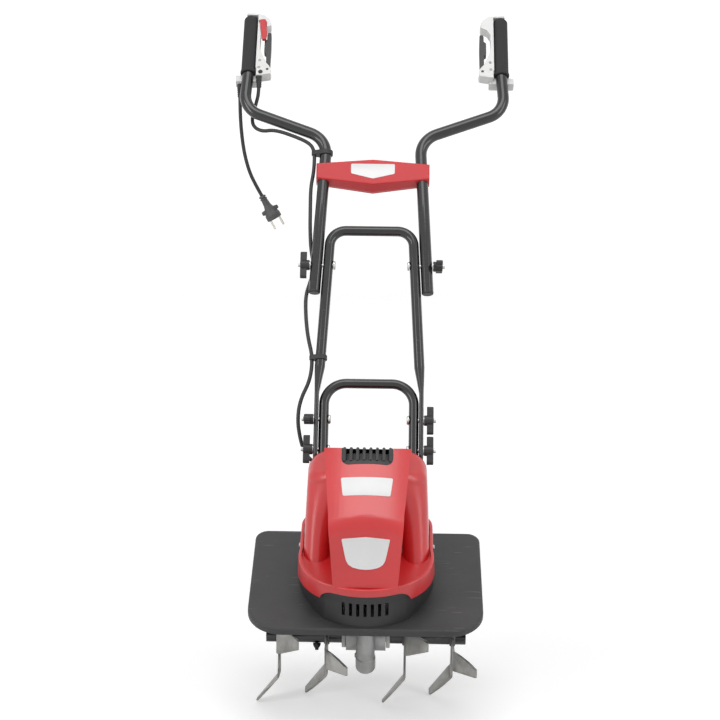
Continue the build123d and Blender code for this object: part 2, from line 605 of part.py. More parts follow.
def shoulder_ring(outer, rear, nose_x, nose_y, nose, start):
    # Plan of a shoulder: elliptic nose, straight side, rounded rear corner
    inner = SPINE_FOOT_HALF - 15
    with BuildSketch() as plan:
        with BuildLine():
            tip = EllipticalCenterArc((nose_x, nose_y), outer - nose_x, nose, start_angle=start,
                                      arc_size=360 - start)
            Line((outer, nose_y), (outer, rear - 28))
            EllipticalCenterArc((outer - 20, rear - 28), 20, 28, start_angle=0, arc_size=90)
            Polyline((outer - 20, rear), (inner, rear), (inner, (tip @ 0).Y), tip @ 0)
        make_face()
    return plan.sketch


def shoulder(inset):
    hinge = SPINE_TOP_HALF - 8
    tilt = Rot(SHOULDER_LEAN, SHOULDER_FALL, 0) * Pos(-hinge, 20 - RIM_REAR, 0)
    foot = shoulder_ring(SHOULDER_HALF - inset, RIM_REAR - 2 - inset, SHOULDER_HALF - 23.5, inset - 8, 33, 180)
    rings = []
    for turn in (0, 22.5, 45, 67.5, 90):
        cut = inset + SHOULDER_ROUND * (1 - math.cos(math.radians(turn)))
        drop = inset + SHOULDER_ROUND * (1 - math.sin(math.radians(turn)))
        lid_half = SHOULDER_LID_HALF - cut
        ring = shoulder_ring(lid_half, RIM_REAR - 6 - cut, SPINE_TOP_HALF - 20, 54, 30 - cut, 270)
        rings.append(Pos(hinge, RIM_REAR - 20, SHOULDER_LID - drop) * tilt * ring)
    body = loft([Pos(0, 0, LEDGE) * foot, rings[0]], ruled=True)
    body = (body + loft(rings)) & crown(inset + 0.5)
    fall = (SPINE_CREST[1] - SPINE_BACK[1]) / (SPINE_BACK[0] - SPINE_CREST[0])
    high = SPINE_CREST[1] - 1.4 * inset - 1
    above = Polyline((SPINE_CREST[0] - 20, high + 20 * fall), (SPINE_CREST[0] + 60, high - 60 * fall),
                     (SPINE_CREST[0] + 60, high + 60), (SPINE_CREST[0] - 20, high + 60), close=True)
    return body - extrude(Plane.YZ * make_face(above), 150, both=True)


def spine(inset):
    knee = (SPINE_KNEE[0] + inset, SPINE_KNEE[1] - inset)
    crest = (SPINE_CREST[0], SPINE_CREST[1] - inset)
    back = (SPINE_BACK[0] - inset, SPINE_BACK[1] - inset)
    foot = (SPINE_FOOT_Y + inset, LEDGE)
    heel = (RIM_REAR - 3 - inset, LEDGE)
    with BuildSketch(Plane.YZ) as side:
        with BuildLine():
            FilletPolyline(foot, knee, crest, back, heel, radius=(46 - inset, 16 - inset, 14 - inset))
            Line(heel, foot)
        make_face()
    body = extrude(side.sketch, 120, both=True)
    rise = (SPINE_TOP_HALF - SPINE_KNEE_HALF) / (SPINE_CREST[1] - SPINE_KNEE[1])
    high = SPINE_CREST[1] + 10
    foot_half = SPINE_FOOT_HALF - inset
    knee_half = SPINE_KNEE_HALF - inset
    top_half = knee_half + rise * (high - SPINE_KNEE[1])
    with BuildSketch(Plane.XZ) as front:
        Polygon((-foot_half, LEDGE), (foot_half, LEDGE), (knee_half, SPINE_KNEE[1]), (top_half, high),
                (-top_half, high), (-knee_half, SPINE_KNEE[1]), align=None)
    body = body & extrude(front.sketch, 300, both=True)
    return body & crown(inset)


rim = frustum(oval(RIM_HALF, RIM_FRONT, RIM_REAR, SKIRT_FLARE), SKIRT_BOTTOM,
              oval(RIM_HALF, RIM_FRONT, RIM_REAR), RIM_TOP)
rim = fillet(rim.faces().sort_by(Axis.Z)[-1].edges(), 2.0)
rim -= prism(oval(RIM_HALF, RIM_FRONT, RIM_REAR, -RIM_WALL), LEDGE, RIM_TOP + 1)
rim -= prism(oval(RIM_HALF, RIM_FRONT, RIM_REAR, -2.0), SKIRT_BOTTOM - 1, BASE_TOP)
side = shoulder(0.0)
side_room = shoulder(WALL)
shell = rim + spine(0.0) + side + mirror_x(side)
for room in (spine(WALL), side_room, mirror_x(side_room)):
    shell -= room
    shell -= extrude(room.faces().sort_by(Axis.Z)[0], 14, dir=(0, 0, -1))


def vent_zone(grow):
    plan = Rectangle(2 * (VENT_HALF + grow), VENT_REAR - VENT_FRONT + 2 * grow)
    plan = fillet(plan.vertices().group_by(Axis.Y)[0], 14 + grow)
    plan = fillet(plan.vertices().group_by(Axis.Y)[-1], 4 + grow)
    plan = Pos(0, (VENT_FRONT + VENT_REAR) / 2) * plan
    return prism(plan, SPINE_BACK[1] - 15, SPINE_CREST[1] + 20)


vent = shell & vent_zone(-SEAM)
vent += (spine(WALL) - spine(2 * WALL - 0.5)) & vent_zone(4.0)
vent_pitch = (2 * VENT_HALF - 10) / VENT_SLOTS
vent_mid = (VENT_FRONT + VENT_REAR) / 2 - 2
for i in range(VENT_SLOTS):
    sx = (i - (VENT_SLOTS - 1) / 2) * vent_pitch
    slot_l = VENT_REAR - VENT_FRONT - 18 - 1.2 * abs(i - (VENT_SLOTS - 1) / 2)
    vent -= Pos(sx, vent_mid, SPINE_CREST[1]) * Box(VENT_SLOT_W, slot_l, 90)
rib_skin = spine(-VENT_RIB) - spine(0.3)
for i in range(VENT_SLOTS + 1):
    sx = (i - VENT_SLOTS / 2) * vent_pitch
    rib = Box(vent_pitch - VENT_SLOT_W - 1.6, VENT_REAR - VENT_FRONT - 18, 90)
    vent += rib_skin & (Pos(sx, vent_mid, SPINE_CREST[1]) * rib)
parts["top_vent"] = HEAD * vent

shell -= vent_zone(0.0)
with BuildSketch(Plane.XZ) as arch:
    with BuildLine():
        arch_low = SKIRT_BOTTOM - 1
        bend_x = 0.5 * (ARCH_HALF + ARCH_FOOT_HALF) + 2
        bend_z = ARCH_TOP - 0.24 * (ARCH_TOP - arch_low)
        ThreePointArc((-ARCH_FOOT_HALF, arch_low), (-bend_x, bend_z), (-ARCH_HALF, ARCH_TOP))
        Line((-ARCH_HALF, ARCH_TOP), (ARCH_HALF, ARCH_TOP))
        ThreePointArc((ARCH_HALF, ARCH_TOP), (bend_x, bend_z), (ARCH_FOOT_HALF, arch_low))
        Line((ARCH_FOOT_HALF, arch_low), (-ARCH_FOOT_HALF, arch_low))
    make_face()
shell -= Pos(0, 0.68 * RIM_FRONT, 0) * extrude(arch.sketch, 120)
for sx in (-1, 1):
    shell -= to_head * z_cylinder(LOW_TUBE / 2 + 0.8, -70, 40, sx * LOW_HALF, 0)
for spot in cover_spots:
    shell -= spot * z_cylinder(SCREW_HEAD_D / 2 + 0.4, -8, 0)
    shell -= spot * z_cylinder(SCREW_D / 2, -1, 6)
gland_seat = RIM_REAR - 2 - 4 * (GLAND_H - GLAND_D - LEDGE) / (SHOULDER_LID - LEDGE) + 0.05
shell -= Pos(GLAND_X, gland_seat - 10, GLAND_H) * Rot(90, 0, 0) * Cylinder(GLAND_D / 2 - 1.5, 30)
parts["top_cover"] = HEAD * shell

# Gland where the motor lead leaves the cover
gland = z_cylinder(GLAND_D / 2 + 2.5, 0, 3.5) + z_cylinder(GLAND_D / 2 - 1.7, -8, 1)
gland += Pos(0, 0, 3.5 + GLAND_L / 2) * Cone(GLAND_D / 2, CORD_D / 2 + 1.2, GLAND_L)
gland -= z_cylinder(CORD_D / 2, -9, 30)
gland_at = Pos(GLAND_X, gland_seat, GLAND_H) * Rot(-90, 0, 0)
parts["lead_gland"] = HEAD * gland_at * gland

housing_screws = []
for px, py in base_posts:
    housing_screws.append(HEAD * Pos(px, py, PLATE_UNDER) * screw())
for spot in cover_spots:
    housing_screws.append(HEAD * spot * screw())
parts["housing_screws"] = Compound(children=housing_screws)


# Motor, upright in the housing over the worm
def at_motor(shape):
    return HEAD * Pos(0, MOTOR_Y, 0) * shape


def ring_sector(r0, r1, z0, z1, middle, span):
    face = Plane.XZ * Pos((r0 + r1) / 2, (z0 + z1) / 2) * Rectangle(r1 - r0, z1 - z0)
    return Rot(0, 0, middle - span / 2) * revolve(face, Axis.Z, span)


STATOR_TOP = STATOR_LOW + STATOR_H
POST_AT = STATOR_SIDE / 2 - 8
BASE_PLATE_TOP = PLATE_TOP + MOTOR_BASE_T
corners = [(-POST_AT, -POST_AT), (POST_AT, -POST_AT), (-POST_AT, POST_AT), (POST_AT, POST_AT)]
motor_base = z_cylinder(MOTOR_BASE_D / 2, PLATE_TOP, BASE_PLATE_TOP)
motor_base += z_cylinder(BEARING_OD / 2 + 4, PLATE_TOP, MOTOR_BEARING_LOW + BEARING_W)
for px, py in corners:
    motor_base += z_cylinder(4.5, PLATE_TOP, STATOR_LOW, px, py)
motor_base -= z_cylinder(BEARING_OD / 2, MOTOR_BEARING_LOW, MOTOR_BEARING_LOW + BEARING_W)
motor_base -= z_cylinder(BEARING_ID / 2 + 2, PLATE_TOP, MOTOR_BEARING_LOW)
for angle in flange_angles:
    a = math.radians(angle)
    motor_base -= z_cylinder(SCREW_D / 2, PLATE_TOP, BASE_PLATE_TOP + 1,
                             FLANGE_SCREW_R * math.cos(a), FLANGE_SCREW_R * math.sin(a))
parts["motor_base"] = at_motor(motor_base)

square = fillet(Rectangle(STATOR_SIDE, STATOR_SIDE).vertices(), 20)
stator = prism(square - Circle(ARMATURE_D / 2 + AIR_GAP), STATOR_LOW, STATOR_TOP)
COIL_IN = ARMATURE_D / 2 + 3
COIL_OUT = ARMATURE_D / 2 + 12
COIL_OVER = 9.0
coils = []
for middle in (0, 180):
    whole = ring_sector(COIL_IN, COIL_OUT, STATOR_LOW - COIL_OVER, STATOR_TOP + COIL_OVER, middle, 124)
    coil = whole - ring_sector(COIL_IN - 1, COIL_OUT + 1, STATOR_LOW, STATOR_TOP, middle, 96)
    stator -= coil
    coils.append(at_motor(coil))
parts["stator_core"] = at_motor(stator)
parts["field_coils"] = Compound(children=coils)

BRACKET_LOW = STATOR_TOP + COIL_OVER + 5
BRUSH_H = BRACKET_LOW + 12
bracket = prism(square - Circle(COMMUTATOR_D / 2 + 5), BRACKET_LOW, BRACKET_LOW + 5)
for px, py in corners:
    bracket += z_cylinder(4, STATOR_TOP, BRACKET_LOW, px, py)
for sx in (-1, 1):
    bracket += Pos(sx * 30, 0, (BRACKET_LOW + MOTOR_BEARING_TOP) / 2) \
        * Box(6, 16, MOTOR_BEARING_TOP - BRACKET_LOW + 6)
    brush = Pos(0, sx * (COMMUTATOR_D / 2 + 13.5), BRUSH_H) * Box(11, 25, 15)
    brush -= Pos(0, sx * (COMMUTATOR_D / 2 + 12), BRUSH_H) * Box(7, 24, 10)
    bracket += brush
bracket += Pos(0, 0, MOTOR_BEARING_TOP + BEARING_W / 2) * Box(66, 16, BEARING_W)
bracket += z_cylinder(BEARING_OD / 2 + 4, MOTOR_BEARING_TOP, MOTOR_BEARING_TOP + BEARING_W)
bracket -= z_cylinder(BEARING_OD / 2, MOTOR_BEARING_TOP - 0.01, MOTOR_BEARING_TOP + BEARING_W + 0.01)
parts["end_bracket"] = at_motor(bracket)

SHAFT_STEP_LOW = MOTOR_BEARING_LOW + BEARING_W + 1
SHAFT_STEP_TOP = MOTOR_BEARING_TOP - 1
armature = z_cylinder(BEARING_ID / 2, COUPLING_TOP - COUPLING_DEPTH, SHAFT_STEP_LOW)
armature += z_cylinder(SHAFT_D / 2, SHAFT_STEP_LOW, SHAFT_STEP_TOP)
armature += z_cylinder(BEARING_ID / 2, SHAFT_STEP_TOP, SHAFT_TOP)
stack = Circle(ARMATURE_D / 2)
for i in range(12):
    stack -= Rot(0, 0, 30 * i) * Pos(ARMATURE_D / 2 - 2, 0) * Rectangle(5, 3)
armature += prism(stack, STATOR_LOW + 2, STATOR_TOP - 2)
armature += z_cylinder(ARMATURE_D / 2 - 6, STATOR_LOW - 6, STATOR_TOP + 10)
parts["armature"] = at_motor(armature)
COMM_LOW = BRACKET_LOW + 3
commutator = Circle(COMMUTATOR_D / 2) - Circle(SHAFT_D / 2)
for i in range(16):
    commutator -= Rot(0, 0, 22.5 * i) * Pos(COMMUTATOR_D / 2, 0) * Rectangle(3, 0.8)
parts["commutator"] = at_motor(prism(commutator, COMM_LOW, COMM_LOW + 22))
fan = z_cylinder(FAN_D / 2, FAN_LOW, FAN_LOW + 2.5) + z_cylinder(14, FAN_LOW, FAN_LOW + FAN_H)
for i in range(FAN_BLADES):
    vane = Pos(FAN_D / 4 + 5, 0, FAN_LOW + FAN_H / 2) * Rot(0, 0, 24) * Box(FAN_D / 2 - 15, 2, FAN_H)
    fan += Rot(0, 0, i * 360 / FAN_BLADES) * vane
fan -= z_cylinder(SHAFT_D / 2, FAN_LOW - 1, FAN_LOW + FAN_H + 1)
parts["cooling_fan"] = at_motor(fan)


# Frames of the handle
def leg_x(s):
    return MID_HALF + SLOPE * (s - FOLD_S)


def tube_x(s):
    return FOLD_X + SLOPE * (s - FOLD_S)


low_path = FilletPolyline((-LOW_HALF, 0, -LOW_INSERT), (-LOW_HALF, 0, LOW_BAR), (LOW_HALF, 0, LOW_BAR),
                          (LOW_HALF, 0, -LOW_INSERT), radius=LOW_BEND)
low_frame = tube_along(low_path, LOW_TUBE, TUBE_WALL)
mid_path = FilletPolyline((-leg_x(LEAF_TAPER_TOP), 0, LEAF_TAPER_TOP), (-leg_x(MID_BAR), 0, MID_BAR),
                          (leg_x(MID_BAR), 0, MID_BAR), (leg_x(LEAF_TAPER_TOP), 0, LEAF_TAPER_TOP),
                          radius=MID_BEND)
mid_frame = tube_along(mid_path, MID_TUBE, TUBE_WALL)
mid_solid = sweep(Plane(origin=mid_path @ 0, z_dir=mid_path % 0) * Circle(MID_TUBE / 2 + 0.05), path=mid_path)
round_end = RectangleRounded(MID_TUBE, MID_TUBE, MID_TUBE / 2 - 0.01)
flat_end = RectangleRounded(LEAF_T, LEAF_W, LEAF_T / 2 - 0.1)
leaf_side = Rectangle(LEAF_W, LEAF_TOP - LEAF_END)
leaf_side = fillet(leaf_side.vertices().group_by(Axis.Y)[0], LEAF_W / 2 - 0.05)
leaf_side = Plane.YZ * Pos(0, (LEAF_TOP + LEAF_END) / 2) * leaf_side
frame_bolt_s = (0.0, BOLT_SPACING)
for sx in (-1, 1):
    top = Plane(origin=(sx * leg_x(LEAF_TAPER_TOP), 0, LEAF_TAPER_TOP), z_dir=(sx * SLOPE, 0, 1),
                x_dir=(1, 0, -sx * SLOPE))
    taper = loft([Pos(sx * LEAF_X, 0, LEAF_TOP) * flat_end, top * round_end])
    leaf = Pos(sx * LEAF_X, 0, 0) * extrude(leaf_side, LEAF_T / 2, both=True)
    long_edges = leaf.edges().filter_by(Axis.Z)
    leaf = fillet(long_edges, LEAF_T / 2 - 0.1)
    mid_frame += taper
    mid_frame += leaf
    for s in frame_bolt_s:
        hole = x_cylinder(BOLT_D / 2 + HOLE_CLEAR, sx * (LOW_HALF - 20), sx * (LEAF_X + 10), 0, s)
        low_frame -= hole
        mid_frame -= hole
    mid_frame -= x_cylinder(BOLT_D / 2 + HOLE_CLEAR, sx * (MID_HALF - 15), sx * (MID_HALF + 12), 0, FOLD_S)
parts["lower_frame"] = HANDLE * low_frame
parts["mid_frame"] = HANDLE * mid_frame


def bolt(seat_x, tip_x, s, sx):
    body = x_cylinder(BOLT_D / 2, sx * seat_x, sx * tip_x, 0, s)
    head = x_cylinder(BOLT_HEAD_D / 2, sx * (seat_x - BOLT_HEAD_T), sx * seat_x, 0, s)
    head = fillet(head.edges().filter_by(GeomType.CIRCLE).sort_by(Axis.X)[::sx][0:1], 2.5)
    return body + head


def flat_washer(x, s, sx):
    ring = x_cylinder(FLAT_WASHER_D / 2, sx * x, sx * (x + FLAT_WASHER_T), 0, s)
    return ring - x_cylinder(BOLT_D / 2 + HOLE_CLEAR, sx * x, sx * (x + FLAT_WASHER_T), 0, s)


def knob(x, s, sx, turned=0):
    # Wing nut knob: round hub and two blunt wings, along the handle unless turned
    hub = Cylinder(KNOB_HUB_D / 2, KNOB_L)
    wing = Pos(0, 0, 2.5) * Box(KNOB_WING_T, KNOB_SPAN, KNOB_L - 5)
    wing = fillet(wing.edges().filter_by(Axis.Z), KNOB_WING_T / 2 - 0.2)
    body = hub + wing
    body = fillet(body.faces().sort_by(Axis.Z)[-1].edges(), 2.0)
    body -= Cylinder(BOLT_D / 2 + HOLE_CLEAR, KNOB_L + 2)
    return Pos(sx * (x + KNOB_L / 2), 0, s) * Rot(0, sx * 90, 0) * Rot(0, 0, 90 + turned) * body


KNOB_TURNS = {("middle", "left"): 75, ("upper", "right"): 90}
low_washer_x = LEAF_X + LEAF_T / 2
low_knob_x = low_washer_x + FLAT_WASHER_T + KNOB_GAP
up_washer_x = FOLD_X + UP_TUBE / 2 + KNOB_GAP + abs(SLOPE) * FLAT_WASHER_D / 2
up_knob_x = up_washer_x + FLAT_WASHER_T + KNOB_GAP
fold_seat_x = MID_HALF - MID_TUBE / 2 - abs(SLOPE) * BOLT_HEAD_D / 2
frame_bolts = []
handle_bolts = []
flat_washers = []
for sx, side in ((-1, "left"), (1, "right")):
    for s, level in zip(frame_bolt_s, ("lower", "middle")):
        frame_bolts.append(HANDLE * bolt(LOW_HALF - LOW_TUBE / 2, low_knob_x + KNOB_L + BOLT_PROUD, s, sx))
        flat_washers.append(HANDLE * flat_washer(low_washer_x, s, sx))
        turned = KNOB_TURNS.get((level, side), 0)
        parts[f"knob_{level}_{side}"] = HANDLE * knob(low_knob_x, s, sx, turned)
    handle_bolts.append(HANDLE * bolt(fold_seat_x, up_knob_x + KNOB_L + BOLT_PROUD, FOLD_S, sx))
    flat_washers.append(HANDLE * flat_washer(up_washer_x, FOLD_S, sx))
    parts[f"knob_upper_{side}"] = HANDLE * knob(up_knob_x, FOLD_S, sx, KNOB_TURNS.get(("upper", side), 0))
parts["frame_bolts"] = Compound(children=frame_bolts)
parts["handle_bolts"] = Compound(children=handle_bolts)
parts["flat_washers"] = Compound(children=flat_washers)

# Upper handle: two bent tubes joined by the red crossbar
turn = math.radians(GRIP_TURN)
tube_l = GRIP_L - GRIP_END - 1
grip_top = (GRIP_FOOT[0], tube_l * math.sin(turn), GRIP_FOOT[1] + tube_l * math.cos(turn))
up_path = FilletPolyline((tube_x(UP_END), 0, UP_END), (UP_KNEE[0], 0, UP_KNEE[1]),
                         (UP_ELBOW[0], 0, UP_ELBOW[1]), (GRIP_FOOT[0], 0, GRIP_FOOT[1]), grip_top,
                         radius=(UP_KNEE_R, UP_ELBOW_R, 55.0))
up_tube = tube_along(up_path, UP_TUBE, TUBE_WALL)
tube_solid = sweep(Plane(origin=up_path @ 0, z_dir=up_path % 0) * Circle(UP_TUBE / 2 + 0.05), path=up_path)
up_tube -= x_cylinder(BOLT_D / 2 + HOLE_CLEAR, FOLD_X - 16, FOLD_X + 16, 0, FOLD_S)
parts["handle_tube_right"] = HANDLE * up_tube
parts["handle_tube_left"] = HANDLE * mirror_x(up_tube)
plug_end = Location(Plane(origin=up_path @ 0, z_dir=up_path % 0))
end_plug = z_cylinder(UP_TUBE / 2, -4, 0) + z_cylinder(UP_TUBE / 2 - TUBE_WALL, 0, 12)
end_plug = plug_end * fillet(end_plug.edges().filter_by(GeomType.CIRCLE).sort_by(Axis.Z)[0:1], 2.5)
parts["tube_plugs"] = Compound(children=[HANDLE * end_plug, HANDLE * mirror_x(end_plug)])


bar_end_top = BAR_TOP - BAR_END_TOP
bar_end_low = BAR_TOP - BAR_END_LOW
bar_apex = BAR_TOP - BAR_APEX
bar_bevel_apex = BAR_TOP - BAR_BEVEL_APEX


def bar_face(apex, low, y, inset):
    a = BAR_HALF - inset
    return Plane(origin=(0, y, 0), z_dir=(0, -1, 0), x_dir=(1, 0, 0)) * make_face(Polyline(
        (-a, bar_end_top - inset), (0, BAR_TOP - inset), (a, bar_end_top - inset), (a, low + inset),
        (0, apex + inset), (-a, low + inset), close=True))


bevel_y = BAR_DEPTH - 8
bar_drop = bar_apex - bar_bevel_apex
bar = loft([bar_face(bar_apex, bar_end_low, -BAR_DEPTH, 0),
            bar_face(bar_bevel_apex, bar_end_low - bar_drop / 2, bevel_y, 0)], ruled=True)
bar += extrude(bar_face(bar_bevel_apex, bar_end_low - bar_drop / 2, bevel_y, 0), -(BAR_DEPTH - bevel_y))
bar = fillet(bar.faces().sort_by(Axis.Y)[0].edges(), 2.5)
room_x = tube_x(BAR_TOP) - UP_TUBE / 2 - BAR_WALL
room_s = (bar_end_low + bar_end_top) / 2
bar -= Pos(0, 0, room_s) * Box(2 * room_x, 2 * (BAR_DEPTH - BAR_WALL), bar_end_top - bar_end_low - 6)
for sx in (-1, 1):
    low_end = Vector(sx * tube_x(bar_bevel_apex - 20), 0, bar_bevel_apex - 20)
    high_end = Vector(sx * tube_x(BAR_TOP + 20), 0, BAR_TOP + 20)
    along = high_end - low_end
    channel = Plane(origin=low_end, z_dir=along) * Circle(UP_TUBE / 2 + 0.1)
    bar -= extrude(channel, along.length, dir=along.normalized())
parts["crossbar_front"] = HANDLE * (bar & Pos(0, -50, room_s) * Box(400, 100, 200))
parts["crossbar_rear"] = HANDLE * (bar & Pos(0, 50, room_s) * Box(400, 100, 200))

# Grips and switch handles, in a frame with x across, z along the grip and the front at -y
GRIP = Pos(-GRIP_FOOT[0], 0, GRIP_FOOT[1]) * Rot(-GRIP_TURN, 0, 0)
grip = z_cylinder(GRIP_D / 2, 0, GRIP_L)
grip = fillet(grip.edges().filter_by(GeomType.CIRCLE).sort_by(Axis.Z)[-1:], 6.0)
collar = z_cylinder(GRIP_FLANGE_D / 2, 0, GRIP_FLANGE_T)
grip += fillet(collar.edges().filter_by(GeomType.CIRCLE), 2.0)
grip -= z_cylinder(UP_TUBE / 2 + 0.5, -1, GRIP_L - GRIP_END)
parts["grip_left"] = HANDLE * GRIP * grip
parts["grip_right"] = mirror_x(parts["grip_left"])


def plate(points, n0, n1):
    # Slab parallel to the front, between two distances in front of the grip axis
    return Pos(0, -n0, 0) * extrude(Plane.XZ * make_face(Polyline(*points, close=True)), n1 - n0)


half_t = SWITCH_T / 2
edge = GRIP_D / 2 + 0.45
lip = GRIP_FLANGE_D / 2 + 0.7
foot_low = -14.0
switch_low = -9.0
GLAND_OFF = GRIP_FLANGE_D / 2 + 1
GLAND_BACK = UP_TUBE / 2 + 3
heel_x = -GLAND_OFF - GLAND_D / 2 - 1
over = GRIP_L + 1.2
outline = [(lip, switch_low), (24, switch_low), (43, -5.6), (44, 4), (39, 14), (34, 20), (24, 45), (21, 55),
           (20, 75), (20.5, 95), (27, 106), (39, 112), (40, 118), (36, 128), (26, over), (14, over + 3.5),
           (-8, over + 5), (-8, over), (edge, over), (edge, GRIP_FLANGE_T + 1.5), (lip, GRIP_FLANGE_T + 0.7)]
switch = plate(outline, -half_t, half_t)
upright = switch.edges().filter_by(Axis.Y)
switch = fillet(upright.filter_by(lambda e: (e @ 0.5).X > lip + 1), 2.5)
foot_y = (3.0, GLAND_BACK + GLAND_D / 2 + 3)
foot = Box(24 - heel_x, foot_y[1] - foot_y[0], -0.5 - foot_low)
foot = fillet(foot.edges().filter_by(Axis.Z), 3.5)
switch += Pos((24 + heel_x) / 2, sum(foot_y) / 2, (foot_low - 0.5) / 2) * foot
switch -= GRIP.inverse() * mirror_x(tube_solid)
slot_n = LEVER_T / 2 + SWITCH_GAP
switch -= plate([(26, -3), (47, -3), (47, 30), (26, 30)], -slot_n, slot_n)
switch -= plate([(17.5, 42), (24, 42), (24, 84), (17.5, 84)], -slot_n, slot_n)
switch -= Pos(LEVER_PIVOT[0], 0, LEVER_PIVOT[1]) * Rot(90, 0, 0) * Cylinder(LEVER_PIN_D / 2 + HOLE_CLEAR, 40)
bar_pts = [(33, 5), (40, 5), (41.5, 10), (42, 60), (41, 97), (35, 97), (33, 92), (33, 81), (28.5, 77),
           (28.5, 50), (33, 46)]
lever_face = make_face(Polyline(*bar_pts, close=True)) + Pos(*LEVER_PIVOT) * Circle(6)
lever = Pos(0, LEVER_T / 2, 0) * extrude(Plane.XZ * lever_face, LEVER_T)
lever = fillet(lever.edges().filter_by(Axis.Y).filter_by(lambda e: (e @ 0.5).Z > 20), 2.0)
lever += Pos(LEVER_PIVOT[0], 0, LEVER_PIVOT[1]) * Rot(90, 0, 0) * Cylinder(LEVER_PIN_D / 2, SWITCH_T - 1)
parts["switch_housing_right"] = mirror_x(HANDLE * GRIP * switch)
parts["lever_left"] = HANDLE * GRIP * lever
parts["lever_right"] = mirror_x(parts["lever_left"])

# Lock-off rocker on the left switch: thumb pad above its pivot, toe in front of the lever
rocker_n = slot_n + 0.4
rocker_pts = [(18, 125), (27, 126), (31, 118), (30, 108), (33, 94), (31, 77), (24, 76), (21.5, 92), (19, 108)]
rocker_face = make_face(Polyline(*rocker_pts, close=True))
pivot_at = Pos(ROCKER_PIVOT[0], ROCKER_PIVOT[1])
pressed = pivot_at * Rot(0, 0, ROCKER_TRAVEL) * pivot_at.inverse() * rocker_face
pocket = offset(rocker_face, 0.8) + offset(pressed, 0.8)
rocker = Pos(0, -rocker_n, 0) * extrude(Plane.XZ * rocker_face, ROCKER_T)
rocker = fillet(rocker.edges().filter_by(Axis.Y), 1.6)
pin_spot = Pos(ROCKER_PIVOT[0], 0, ROCKER_PIVOT[1]) * Rot(90, 0, 0)
rocker += pin_spot * z_cylinder(2, rocker_n - 5, rocker_n + 1)
parts["lock_rocker"] = HANDLE * GRIP * rocker
left_switch = switch - Pos(0, -slot_n, 0) * extrude(Plane.XZ * pocket, half_t)
left_switch -= pin_spot * z_cylinder(2 + HOLE_CLEAR, rocker_n - 5.5, rocker_n)


# Leads: straight runs joined by tangent arcs
def cord(points, grow=0.0):
    spots = [Vector(*p) for p in points]
    radii = []
    for a, b, c in zip(spots, spots[1:], spots[2:]):
        half = math.radians((b - a).get_angle(c - b)) / 2
        radii.append(0.45 * min((b - a).length, (c - b).length) / math.tan(half))
    print("lead arc radii", [round(r, 1) for r in radii])
    path = FilletPolyline(*spots, radius=tuple(radii))
    return sweep(Plane(origin=path @ 0, z_dir=path % 0) * Circle(CORD_D / 2 + grow), path=path)


SWITCH_LEAD = (21.0, -5.0, switch_low - 2.5)
lead_start = (GRIP * Pos(*SWITCH_LEAD)).position
clip_s = 577.0
clip_lead_x = BAR_HALF + CORD_D / 2 + 0.8
lead_y = UP_TUBE / 2 + CORD_D / 2 + 2.5
split_x = FOLD_X + 4.5
lead_up = [tuple(lead_start), (-220, 3, 706), (-226, 14, 684), (-233, 19, 660), (-230, 13, 637), (-212, 5, 623),
           (-187, 0, 625), (-143, 0, 609), (-119, 0, 596.5), (-clip_lead_x - 0.9, 0, clip_s + 4),
           (-clip_lead_x - 0.3, 0, clip_s - 17), (-clip_lead_x - 1.5, 0, 535), (-clip_lead_x - 6, 0, 508),
           (-clip_lead_x - 5.5, 0, 462), (-clip_lead_x - 5, 2, 422), (-split_x - 7, 9, 386),
           (-split_x, lead_y, FOLD_S + 1)]
parts["motor_lead_upper"] = HANDLE * cord(lead_up)
clip2_s = 172.0
clip2_leg = leg_x(clip2_s)
clip2_lead = clip2_leg + MID_TUBE / 2 + CORD_D / 2 + 1.5
bolt_tip = low_knob_x + KNOB_L + BOLT_PROUD
gland_out = (HANDLE.inverse() * HEAD * gland_at * Pos(0, 0, 3.5 + GLAND_L - 2)).position
gland_far = (HANDLE.inverse() * HEAD * gland_at * Pos(0, 0, 3.5 + GLAND_L + 34)).position
lead_low = [(-split_x, lead_y, FOLD_S - 1), (-split_x - 7.5, 12, 321), (-split_x - 14, 4, 294),
            (-split_x - 13, 0, 256), (-clip2_lead - 10, 0, 212), (-clip2_lead, 0, clip2_s + 2),
            (-clip2_lead - 3, 0, 130), (-bolt_tip - 4, 2, 92), (-bolt_tip - 8, 9, 56),
            (-bolt_tip - 3, 20, 26), (-bolt_tip + 5, 40, 3), (-bolt_tip + 20, 61, -8), (-81, 78, -8),
            (-62, 80, -14), tuple(gland_far), tuple(gland_out)]
parts["motor_lead_lower"] = HANDLE * cord(lead_low)



def lead_clip(tube_at, tube_d, lead_at, s):
    # Band round the tube and the lead
    with BuildSketch() as band:
        with Locations((-tube_at, 0)):
            Circle(tube_d / 2 + CLIP_WALL)
        with Locations((-lead_at, 0)):
            Circle(CORD_D / 2 + CLIP_WALL)
        make_hull()
    body = Pos(0, 0, s - CLIP_L / 2) * extrude(band.sketch, CLIP_L)
    return fillet(body.edges().filter_by(lambda e: abs((e % 0.5).Z) < 0.01), 1.0)


clip = lead_clip(tube_x(clip_s), UP_TUBE, clip_lead_x, clip_s)
clip -= mirror_x(tube_solid)
clip -= cord(lead_up, 0.1)
parts["lead_clip_upper"] = HANDLE * clip
clip = lead_clip(clip2_leg, MID_TUBE, clip2_lead, clip2_s)
clip -= mid_solid
clip -= cord(lead_low, 0.1)
parts["lead_clip_lower"] = HANDLE * clip

